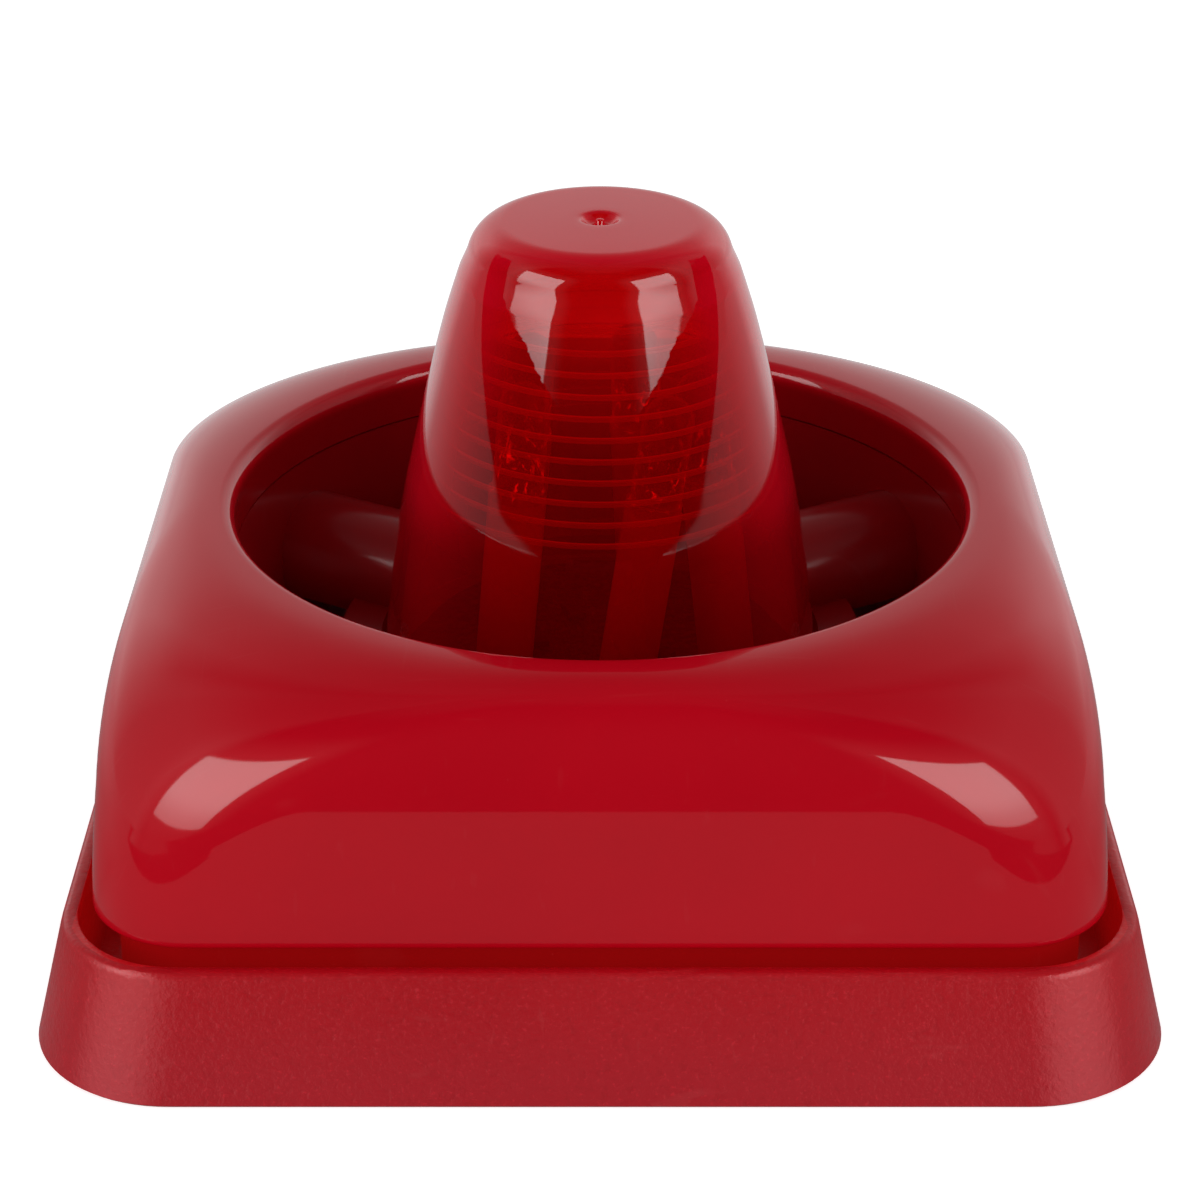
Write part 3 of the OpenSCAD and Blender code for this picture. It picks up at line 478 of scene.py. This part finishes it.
def board_material(name):
    """Circuit board: green mask over copper, glass weave showing at the cut edges."""
    mat = Material(name)
    tracks_per_metre = 393.7
    x, y, _ = mat.separate(mat.pos)
    normal_z = mat.separate(mat.make("NewGeometry", out="Normal"))[2]
    flat = mat.ramp(mat.absolute(normal_z), over=(0.7, 0.9))
    # each cell runs its tracks along one axis or the other
    cell = mat.make("TexVoronoi", {"Vector": mat.pos, "Scale": 210.0, "Randomness": 0.75},
                    out="Color", distance="MANHATTAN", feature="F1")
    choice = mat.math("GREATER_THAN", mat.make("SeparateColor", {0: cell}), 0.5)
    across = mat.add(mat.times(x, choice), mat.times(y, mat.invert(choice)))
    turn = mat.math("FRACT", mat.times(across, tracks_per_metre))
    gap = mat.ramp(mat.absolute(mat.minus(turn, 0.5)), over=(0.17, 0.20))
    pour = mat.ramp(mat.noise(scale=120.0, detail=2.0, rough=0.4), over=(0.52, 0.54))
    copper = mat.most(mat.invert(gap), pour)
    weave = mat.times(mat.make("TexWave", {
        "Vector": mat.stretch(1, 1, 1, turn=(0, 0, 0.785)), "Scale": 600.0,
        "Distortion": 1.0}, out="Fac"), 1.0)
    mask = mat.mix(copper, (0.012, 0.085, 0.028), (0.035, 0.19, 0.060))
    mask = mat.mix(weave, mask, (0.05, 0.20, 0.09), amount=0.08)
    edge = mat.mix(weave, (0.42, 0.40, 0.22), (0.58, 0.55, 0.34))
    tone = mat.mix(flat, edge, mask)
    specks = mat.noise(scale=1500.0, detail=2.0)
    normal = mat.bump(mat.times(copper, flat), depth=2.5e-5, strength=0.7)
    normal = mat.bump(weave, depth=4e-6, strength=0.5, under=normal)
    roughness = mat.add(mat.ramp(specks, over=(0.3, 0.7), to=(0.20, 0.32)),
                        mat.times(mat.invert(flat), 0.35))
    return mat.finish(mat.principled(tone, roughness, normal, {"IOR": 1.5}))


def lamp_material(name):
    """Pale epoxy of a lamp: milky see-through body, glossy skin, painted glints (emission) low
    down inside.
    """
    mat = Material(name)
    z = mat.times(mat.separate(mat.pos)[2], 1000.0)  # millimetres
    cloud = mat.noise(scale=420.0, detail=4.0, rough=0.6)
    glint = mat.noise(scale=700.0, rough=0.7, distort=1.5, at=mat.stretch(1, 1, 0.6))
    low = mat.times(mat.ramp(z, over=(41.2, 42.2)), mat.ramp(z, over=(48.5, 44.5)))
    tone = mat.mix(mat.ramp(cloud, over=(0.35, 0.7)), (0.80, 0.20, 0.16), (0.95, 0.38, 0.31))
    skin = mat.principled(tone, 0.12, mat.bump(cloud, depth=2e-6), {"IOR": 1.5})
    through = mat.make("BsdfTranslucent", {"Color": tone})
    clear = mat.make("BsdfTransparent", {"Color": (0.80, 0.42, 0.38)})
    density = mat.add(
        mat.ramp(mat.facing(), over=(0.30, 0.75), to=(0.30, 0.80)),
        mat.times(mat.ramp(z, over=(43.0, 41.0)), 0.5), clamp=True)
    body = mat.mix_shader(density, clear, mat.mix_shader(0.35, skin, through))
    # painted glints: emission specks low down inside the lamp
    painted_glints = mat.times(mat.ramp(glint, over=(0.57, 0.68)), low, 0.95)
    return mat.finish(mat.add_shader(body, mat.emission((1.0, 0.55, 0.42), painted_glints)))


def winding_material(name):
    """Enamelled copper wire: turns from a fine wave along the axis."""
    mat = Material(name)
    turns = mat.make("TexWave", {
        "Vector": mat.pos, "Scale": 900.0, "Distortion": 0.6, "Detail": 1.0}, out="Fac",
        bands_direction="Z")
    patches = mat.noise(scale=300.0)
    tone = mat.mix(mat.ramp(patches, over=(0.3, 0.7)), (0.50, 0.17, 0.055),
                   (0.66, 0.28, 0.10))
    # painted shade: darker in the grooves between the turns
    tone = mat.mix(mat.ramp(turns, over=(0.4, 0.0)), tone, (0.12, 0.03, 0.01), amount=0.7)
    roughness = mat.ramp(patches, over=(0.3, 0.7), to=(0.22, 0.34))
    normal = mat.bump(turns, depth=6e-5, strength=0.9)
    return mat.finish(mat.principled(tone, roughness, normal, {"Metallic": 0.75}))


# Finish of each material slot
MATERIALS = {
    "cover_red": gloss_red("cover_gloss_red", (0.650, 0.0012, 0.0122), throat=True),
    "base_red": matte_red("base_matte_red", (0.585, 0.0030, 0.0110)),
    "lens_red": lens_material("lens_clear_red"),
    "black_plastic": plastic("black_moulded", (0.018, 0.018, 0.020), rough=0.42, vary=0.25,
                             depth=1.2e-5, dust=0.05),
    "rubber_black": plastic("rubber_matte", (0.012, 0.012, 0.013), rough=0.72, vary=0.3,
                            grain=1500.0, depth=2.5e-5, dust=0.10, specular=0.35),
    "terminal_green": plastic("terminal_green", (0.035, 0.19, 0.085), rough=0.38, depth=8e-6),
    "brass": metal("brass_turned", (0.72, 0.50, 0.20), rough=0.24, tarnish=(0.34, 0.20, 0.07)),
    "zinc_steel": metal("zinc_plated", (0.66, 0.67, 0.70), rough=0.26,
                        tarnish=(0.42, 0.40, 0.34)),
    "tinned_copper": metal("tinned_copper", (0.74, 0.72, 0.68), rough=0.30,
                           tarnish=(0.50, 0.42, 0.34), wear=0.3),
    "board_green": board_material("board_green"),
    "lamp_red": lamp_material("lamp_epoxy"),
    "spacer_white": plastic("spacer_nylon", (0.88, 0.85, 0.80), rough=0.44, vary=0.05,
                            translucent=0.25),
    "ceramic": plastic("fired_ceramic", (0.72, 0.70, 0.64), rough=0.62, vary=0.06,
                       grain=2200.0, depth=1.4e-5),
    "wire_red": plastic("wire_red", (0.52, 0.012, 0.014), rough=0.32, grain=1800.0),
    "wire_black": plastic("wire_black", (0.012, 0.012, 0.012), rough=0.34, vary=0.25,
                          grain=1800.0),
    "switch_red": plastic("switch_red", (0.46, 0.012, 0.020), rough=0.36),
    "white_plastic": plastic("white_moulded", (0.80, 0.79, 0.75), rough=0.38, vary=0.04),
    "trimmer_blue": plastic("trimmer_blue", (0.020, 0.075, 0.36), rough=0.30),
    "ferrite": plastic("ferrite_sintered", (0.030, 0.030, 0.032), rough=0.58, vary=0.3,
                       grain=2600.0, depth=2.0e-5),
    "enamelled_copper": winding_material("enamelled_copper"),
    "cap_sleeve": plastic("capacitor_sleeve", (0.012, 0.020, 0.075), rough=0.22, vary=0.1,
                          grain=900.0, depth=3e-6),
    "nylon": plastic("washer_nylon", (0.72, 0.70, 0.62), rough=0.46, vary=0.05,
                     translucent=0.15),
}
# painted shade: the chassis is a darker red than the cover, standing in for the shade inside the
# bell
HORN = gloss_red("horn_gloss_red", (0.30, 0.0010, 0.0042), rough=0.19, haze=0.35,
                 specular=0.30, skirt=True)


# ------------------------------------------------------------------ CAD pieces


def split_edges(obj, angle):
    split = obj.modifiers.new("split", "EDGE_SPLIT")
    split.split_angle = math.radians(angle)
    split.use_edge_sharp = False


def smooth_cad(obj):
    """Smooth shading with sharp edges kept, by modifiers only: the points stay as imported."""
    for name in ("custom_normal", "sharp_edge", "sharp_face"):
        attribute = obj.data.attributes.get(name)
        if attribute is not None:
            obj.data.attributes.remove(attribute)
    obj.data.polygons.foreach_set("use_smooth", [True] * len(obj.data.polygons))
    weld = obj.modifiers.new("weld", "WELD")
    weld.merge_threshold = 2e-6
    split_edges(obj, angle=32)
    normals = obj.modifiers.new("normals", "WEIGHTED_NORMAL")
    normals.keep_sharp = True
    normals.weight = 50


slot_of = {part["node"]: part["material_slot"] for part in frame["record"]["subparts"]}
for name, obj in frame["nodes"].items():
    obj.data.materials.clear()
    obj.data.materials.append(HORN if name == "horn_chassis" else MATERIALS[slot_of[name]])
    smooth_cad(obj)

# ------------------------------------------------------------------ mesh helpers


def lerp(start, end, share):
    return start + (end - start) * share


def mesh_object(name, points, faces, material):
    mesh = bpy.data.meshes.new(name)
    mesh.from_pydata([(x * MM, y * MM, z * MM) for x, y, z in points], [], faces)
    mesh.update()
    mesh.validate()
    mesh.polygons.foreach_set("use_smooth", [True] * len(mesh.polygons))
    mesh.materials.append(material)
    obj = bpy.data.objects.new(name, mesh)
    scene.collection.objects.link(obj)
    return obj


def circle(radius, z, sides, x=0.0, y=0.0):
    angles = [2 * math.pi * j / sides for j in range(sides)]
    return [(x + radius * math.cos(t), y + radius * math.sin(t), z) for t in angles]


def loop_faces(size, count):
    """Quads between `count` rings of `size` points, the last ring joined to the first."""
    faces = []
    for k in range(count):
        here, there = k * size, (k + 1) % count * size
        for j in range(size):
            after = (j + 1) % size
            faces.append((here + j, here + after, there + after, there + j))
    return faces


def stand_in(obj, part):
    """Let a fine mesh on the head take the place of a CAD part."""
    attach(obj, "head")
    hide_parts(part)


# ------------------------------------------------------------------ cover


def cover_azimuths():
    """Directions round the cover in degrees, closest together at the corners."""
    octant = [45.0 * (1 - (1 - i / OCTANT_STEPS) ** 1.6) for i in range(OCTANT_STEPS)]
    quadrant = octant + [45.0] + [90.0 - v for v in reversed(octant[1:])]
    return [v + 90.0 * quarter for quarter in range(4) for v in quadrant]


def reach(azimuth, half, corner):
    """Distance from the axis to the outline of a rounded square."""
    folded = azimuth % 90.0
    angle = math.radians(90.0 - folded if folded > 45.0 else folded)
    corner = min(corner, half)
    centre = half - corner
    if half * math.tan(angle) <= centre:
        return half / math.cos(angle)
    cos, sin = math.cos(angle), math.sin(angle)
    return centre * (cos + sin) + math.sqrt(
        max(0.0, corner * corner - centre * centre * (cos - sin) ** 2))


def corner_radius(z, foot, crest, top):
    share = max(0.0, min(1.0, (z - CORNER_START_Z) / (top - CORNER_START_Z)))
    return lerp(foot, crest, share ** CORNER_POWER)


def outer_corner(z):
    return corner_radius(z, COVER_CORNER, CREST_R, CREST_Z)


def shoulder(angle, rim, half, top):
    """Half width and height on the shoulder's superellipse."""
    z = lerp(SHOULDER_Z, top, math.sin(angle) ** SHOULDER_POWER)
    return lerp(rim, half, max(0.0, math.cos(angle)) ** SHOULDER_POWER), z


def cover_stations():
    """(half width, corner radius, height), up the outside and down the inside."""
    stations = [(COVER_HALF - inset, COVER_CORNER, FOOT_Z + rise)
                for inset, rise in ((0.4, 0), (0.22, 0.03), (0.1, 0.12), (0.02, 0.28))]
    for i in range(16):  # side walls, leaning in very slightly
        z = lerp(WALL_Z, SHOULDER_Z, i / 16)
        if z < BEND_Z:
            half = lerp(COVER_HALF, BEND_HALF, (z - WALL_Z) / (BEND_Z - WALL_Z))
        else:
            half = lerp(BEND_HALF, SHOULDER_HALF, (z - BEND_Z) / (SHOULDER_Z - BEND_Z))
        stations.append((half, outer_corner(z), z))
    for i in range(SHOULDER_STEPS + 1):
        angle = math.radians(90.0 * (i / SHOULDER_STEPS) ** 1.25)
        half, z = shoulder(angle, CREST_R, SHOULDER_HALF, CREST_Z)
        stations.append((half, outer_corner(z), z))
    for i in range(1, 19):  # rolled lip of the mouth
        angle = math.radians(90 - 5 * i)
        radius = CREST_R - LIP_R * math.cos(angle)
        stations.append((radius, radius, CREST_Z - LIP_R + LIP_R * math.sin(angle)))
    # mouth wall, then the step out at the seam; round, so one radius and a height
    stations += [(radius, radius, z) for radius, z in (
        (MOUTH_R, 35.5), (MOUTH_R, SEAM_Z + 0.1), (MOUTH_R + 0.1, SEAM_Z),
        (SEAM_R, SEAM_Z), (SEAM_R + 0.02, 36.5))]
    inner_top = CREST_Z - COVER_WALL
    inner_half = SHOULDER_HALF - COVER_WALL
    for i in range(24):  # underside of the shoulder
        half, z = shoulder(math.radians(88 - 85 * i / 23), SEAM_R, inner_half, inner_top)
        corner = corner_radius(z, COVER_CORNER - COVER_WALL, SEAM_R, inner_top)
        stations.append((half, corner, z))
    return stations + [(inner_half, 8.9, SHOULDER_Z), (COVER_HALF - COVER_WALL, 8.0, 13.9),
                       (COVER_HALF - 1.9, 8.0, FOOT_Z)]


def cover_shell():
    azimuths, stations = cover_azimuths(), cover_stations()
    points = []
    for half, corner, z in stations:
        for azimuth in azimuths:
            distance, angle = reach(azimuth, half, corner), math.radians(azimuth)
            points.append((distance * math.cos(angle), distance * math.sin(angle), z))
    return points, loop_faces(len(azimuths), len(stations))


def post(x, y):
    # (radius, height): down the outside, then up the hole
    profile = [
        (POST_R, POST_TOP), (POST_R, POST_BOTTOM + 0.15), (POST_R - 0.15, POST_BOTTOM),
        (POST_BORE_R + 0.2, POST_BOTTOM), (POST_BORE_R, POST_BOTTOM + 0.2),
        (POST_BORE_R, POST_BORE_TOP), (0.35, POST_BORE_TOP + 0.9)]
    points = [p for radius, z in profile for p in circle(radius, z, POST_SIDES, x, y)]
    last = (len(profile) - 1) * POST_SIDES
    faces = []
    for here in range(0, last, POST_SIDES):
        there = here + POST_SIDES
        for j in range(POST_SIDES):
            after = (j + 1) % POST_SIDES
            faces.append((here + j, there + j, there + after, here + after))
    faces.append(tuple(range(POST_SIDES)))
    faces.append(tuple(last + j for j in reversed(range(POST_SIDES))))
    return points, faces


def build_cover():
    points, faces = cover_shell()
    for side_x in (-1, 1):
        for side_y in (-1, 1):
            post_points, post_faces = post(side_x * POST_OFFSET, side_y * POST_OFFSET)
            start = len(points)
            points += post_points
            faces += [tuple(i + start for i in face) for face in post_faces]
    cover = mesh_object("cover_skin", points, faces, MATERIALS["cover_red"])
    split_edges(cover, angle=40)
    stand_in(cover, "outer_cover")


build_cover()

# ------------------------------------------------------------------ lens


def outline_radius(z):
    """Straight pieces through LENS_OUTLINE, held level outside it."""
    if z <= LENS_OUTLINE[0][0]:
        return LENS_OUTLINE[0][1]
    for (z0, r0), (z1, r1) in zip(LENS_OUTLINE, LENS_OUTLINE[1:]):
        if z <= z1:
            return lerp(r0, r1, (z - z0) / (z1 - z0))
    return LENS_OUTLINE[-1][1]


def eased_radius(z):
    """The outline averaged over nine heights within 1.2 mm each way."""
    heights = [z + 1.2 * k / 4 for k in range(-4, 5)]
    return sum(outline_radius(min(v, LENS_END)) for v in heights) / len(heights)


def crown_points(offsets):
    return [(radius, LENS_TOP + rise) for radius, rise in offsets]


def lens_outer():
    """(radius, height) from the rim up to the crown's middle."""
    neck = 22.9
    profile = [(neck, RIM_BOTTOM), (RIM_R, RIM_BOTTOM), (RIM_R, RIM_TOP), (neck, RIM_TOP)]
    heights = [20.0 + 0.75 * i for i in range(58)]
    profile += [(eased_radius(z), z) for z in heights]
    profile.append((13.42, 63.9))
    for degrees in range(14, 91, 4):
        angle = math.radians(degrees)
        profile.append((9.33 + DOME_R * math.cos(angle),
                        LENS_TOP - DOME_R + DOME_R * math.sin(angle)))
    return profile + crown_points(CROWN_OUTER)


def lens_inner():
    """(radius, height) from the crown's middle down past the rings to the rim."""
    profile = crown_points(CROWN_INNER)
    for i in reversed(range(RING_COUNT)):
        z = FIRST_RING_Z + RING_PITCH * i
        ring = outline_radius(z) - LENS_WALL - RING_DEPTH
        profile += [
            (outline_radius(z + 0.55) - LENS_WALL, z + 0.55),
            (outline_radius(z + 0.3) - LENS_WALL - RING_DEPTH, z + 0.22),
            (ring, z + 0.1), (ring, z),
            (outline_radius(z - 0.06) - LENS_WALL, z - 0.06)]
    heights = [38.6 - 1.5 * i for i in range(13)]
    profile += [(eased_radius(z) - LENS_WALL, z) for z in heights]
    profile.append((outline_radius(RIM_BOTTOM) - LENS_WALL, RIM_BOTTOM))
    return profile


def build_lens():
    outer, inner = lens_outer(), lens_inner()
    profile = outer + inner
    points = [p for radius, z in profile for p in circle(radius, z, LENS_SIDES)]
    faces = loop_faces(LENS_SIDES, len(profile))
    # close the crown's middle with two small discs instead of a pinhole
    inner_start = len(outer) * LENS_SIDES
    outer_tip = inner_start - LENS_SIDES
    del faces[outer_tip:inner_start]
    faces.append(tuple(outer_tip + j for j in range(LENS_SIDES)))
    faces.append(tuple(inner_start + j for j in reversed(range(LENS_SIDES))))
    lens = mesh_object("lens_shell", points, faces, MATERIALS["lens_red"])
    # the lens material reads which wall a point is on
    mark = lens.data.attributes.new("inner", "FLOAT", "POINT")
    mark.data.foreach_set(
        "value", [float(i >= inner_start) for i in range(len(lens.data.vertices))])
    split_edges(lens, angle=50)
    stand_in(lens, "beacon_lens")


build_lens()

# ------------------------------------------------------------------ floor


def floor_material():
    mat = Material("pale_floor")
    ray = mat.node("LightPath").outputs
    x, y, _ = mat.separate(mat.make("NewGeometry", out="Position"))
    paper = mat.noise(scale=900.0)
    tone = mat.mix(mat.ramp(paper, over=(0.3, 0.7)), (0.86, 0.86, 0.86), (0.88, 0.88, 0.88))
    matte = mat.make("BsdfDiffuse", {
        "Color": tone, "Normal": mat.bump(paper, depth=1e-5, strength=0.3)})
    lifted = mat.add_shader(matte, mat.emission((1, 1, 1), 0.74))
    # what a polished face sees of the table: palest behind to both sides, dimmer beside,
    # ending in front at the table's edge; (degrees from +Y, brightness)
    around = mat.curve(mat.azimuth(x, y), [
        (0, 0.68), (18, 0.76), (34, 0.98), (43, 0.98), (54, 0.60), (66, 0.50), (78, 0.39),
        (90, 0.31), (110, 0.27)])
    # painted shade: the mirrored table is dimmer close to the beacon, except in front of it
    near_dim = mat.ramp(mat.radius(x, y), over=(0.07, 0.20), to=(0.62, 1.0))
    around = mat.times(around, mat.most(near_dim, mat.ramp(y, over=(0.0, -0.04))))
    table = mat.ramp(y, over=(-0.1245, -0.1235))
    # height above the floor of the point that mirrors it
    seen_from = mat.times(ray["Ray Length"],
                          mat.separate(mat.make("NewGeometry", out="Incoming"))[2])
    sides = mat.times(mat.ramp(mat.absolute(x), over=(0.09, 0.12)),
                      mat.ramp(y, over=(-0.50, -0.42)),
                      mat.ramp(seen_from, over=(0.0375, 0.0385)))
    brightness = mat.most(mat.times(table, around), mat.times(sides, 0.38))
    mirrored = mat.emission((1.0, 0.985, 1.0), brightness)
    plain = mat.mix_shader(ray["Is Camera Ray"], matte, lifted)
    return mat.finish(mat.mix_shader(ray["Is Glossy Ray"], plain, mirrored))


floor_mesh = bpy.data.meshes.new("floor")
floor_mesh.from_pydata([(-6, -6, 0), (6, -6, 0), (6, 6, 0), (-6, 6, 0)], [], [(0, 1, 2, 3)])
floor = bpy.data.objects.new("floor", floor_mesh)
floor.location = (0, 0, -0.00005)  # just under the base, so the faces don't meet
scene.collection.objects.link(floor)
floor_mesh.materials.append(floor_material())

# ------------------------------------------------------------------ world


def soft_box(sky, direction, azimuth, half_width, low, high, soft=0.94, slant=0.0, dimmed=1.0):
    """A box of light, 0 to 1, its lower edge rising outwards by `slant`.

    Angles are in degrees, azimuth from -Y towards +X. `soft` is where the edges start to
    fade, as a share of the half size; `dimmed` is the level at the lower edge.
    """
    turn, tilt = math.radians(azimuth), math.radians((low + high) / 2)
    centre = Vector((math.sin(turn) * math.cos(tilt), -math.cos(turn) * math.cos(tilt),
                     math.sin(tilt)))
    right = Vector((math.cos(turn), math.sin(turn), 0))
    up = centre.cross(right)

    def dot(vector):
        return sky.add(*[sky.times(a, b) for a, b in zip(direction, vector)])

    ahead = dot(centre)
    safe = sky.most(ahead, 0.05)
    across = sky.math("DIVIDE", dot(right), safe)
    along = sky.math("DIVIDE", dot(up), safe)
    wide = math.tan(math.radians(half_width))
    tall = math.tan(math.radians((high - low) / 2))
    outward = sky.add(sky.times(across, math.copysign(0.5, azimuth) / wide), 0.5)
    from_low = sky.minus(sky.add(along, tall), sky.times(outward, slant))
    columns = sky.ramp(sky.absolute(across), over=(wide, wide * soft))
    rows = sky.times(sky.ramp(along, over=(tall, tall * soft)),
                     sky.ramp(from_low, over=(0.0, tall * (1 - soft))))
    fade = sky.ramp(from_low, over=(0.0, tall * 0.8), to=(dimmed, 1.0))
    in_front = sky.math("GREATER_THAN", ahead, 0.05)
    return sky.times(sky.times(columns, rows), sky.times(fade, in_front))


def build_world():
    world = bpy.data.worlds.new("studio")
    world.use_nodes = True
    scene.world = world
    sky = Nodes(world.node_tree)
    output = sky.node("OutputWorld")
    ray = sky.node("LightPath").outputs
    direction = x, y, z = sky.separate(sky.make("TexCoord", out="Generated"))

    edge = {"slant": 0.17, "dimmed": 0.55}
    boxes = sky.most(soft_box(sky, direction, -57, 18.5, low=1.5, high=43, **edge),
                     soft_box(sky, direction, 51, 17.5, low=1.5, high=42, **edge))
    halo = sky.most(soft_box(sky, direction, -57, 32, low=-10, high=58, soft=0.45),
                    soft_box(sky, direction, 51, 31, low=-10, high=57, soft=0.45))

    # pale card behind (+Y) with wings at its sides: (degrees from +Y, brightness)
    azimuth = sky.azimuth(x, y)
    elevation = sky.times(sky.math("ARCSINE", z), DEGREES)
    card = sky.curve(azimuth, [
        (0, 0.66), (16, 0.78), (30, 1.06), (41, 1.20), (54, 0.60), (65, 0.31), (78, 0.33),
        (96, 0.40), (104, 0.0)])
    # (elevation in degrees, share of the brightness)
    card_up = sky.curve(elevation, [
        (22, 1.0), (28, 0.84), (36, 0.46), (44, 0.28), (53, 0.16), (64, 0.10), (90, 0.08)])
    wing_up = sky.curve(elevation, [(40, 1.0), (48, 0.75), (56, 0.42), (66, 0.25)])
    wing = sky.ramp(azimuth, over=(52, 66))
    back = sky.times(card, sky.add(sky.times(card_up, sky.invert(wing)),
                                   sky.times(wing_up, wing)))
    overhead = sky.ramp(z, over=(0.90, 0.98), to=(0.0, 0.06))

    # polished faces see the shine, other surfaces the fill, and the camera plain white
    shine = sky.add(sky.most(back, overhead), sky.times(halo, 0.22), sky.times(boxes, 4.9))
    fill = sky.add(sky.ramp(z, over=(0.42, 0.92), to=(0.545, 0.22)), sky.times(boxes, 0.45))
    glossy, camera = ray["Is Glossy Ray"], ray["Is Camera Ray"]
    level = sky.add(sky.times(shine, glossy), sky.times(fill, sky.invert(glossy)))
    level = sky.add(sky.times(level, sky.invert(camera)), camera)
    background = sky.make("Background", {"Color": (1, 1, 1), "Strength": level})
    sky.feed(output.inputs["Surface"], background)


build_world()

# ------------------------------------------------------------------ lights and camera


def soft_light(name, x, power):
    """A square light in front, aimed at the middle and left out of reflections."""
    light = bpy.data.lights.new(name, "AREA")
    light.shape = "RECTANGLE"
    light.size = light.size_y = 0.42
    light.energy = power
    obj = bpy.data.objects.new(name, light)
    obj.location = (x, -0.42, 0.34)
    aim = Vector((0, 0, 0.03)) - Vector((x, -0.42, 0.34))
    obj.rotation_euler = aim.to_track_quat("-Z", "Y").to_euler()
    obj.visible_glossy = False
    scene.collection.objects.link(obj)


soft_light("soft_left", x=-0.62, power=0.8)
soft_light("soft_right", x=0.62, power=0.75)

lens_data = bpy.data.cameras.new("camera")
lens_data.sensor_width = 36.0
lens_data.lens = 92.81
lens_data.clip_start, lens_data.clip_end = 0.01, 20
camera = bpy.data.objects.new("camera", lens_data)
camera.location = (0, -0.28908, 0.17010)
camera.rotation_euler = (math.radians(63.46), 0, 0)
scene.collection.objects.link(camera)
scene.camera = camera

scene.view_settings.view_transform = "Standard"
scene.view_settings.look = "None"
if hasattr(scene, "cycles"):  # missing when the Cycles add-on is off
    scene.cycles.max_bounces = 14
    scene.cycles.diffuse_bounces = 3
    scene.cycles.glossy_bounces = 4
    scene.cycles.transparent_max_bounces = 24
    scene.cycles.sample_clamp_indirect = 4.0
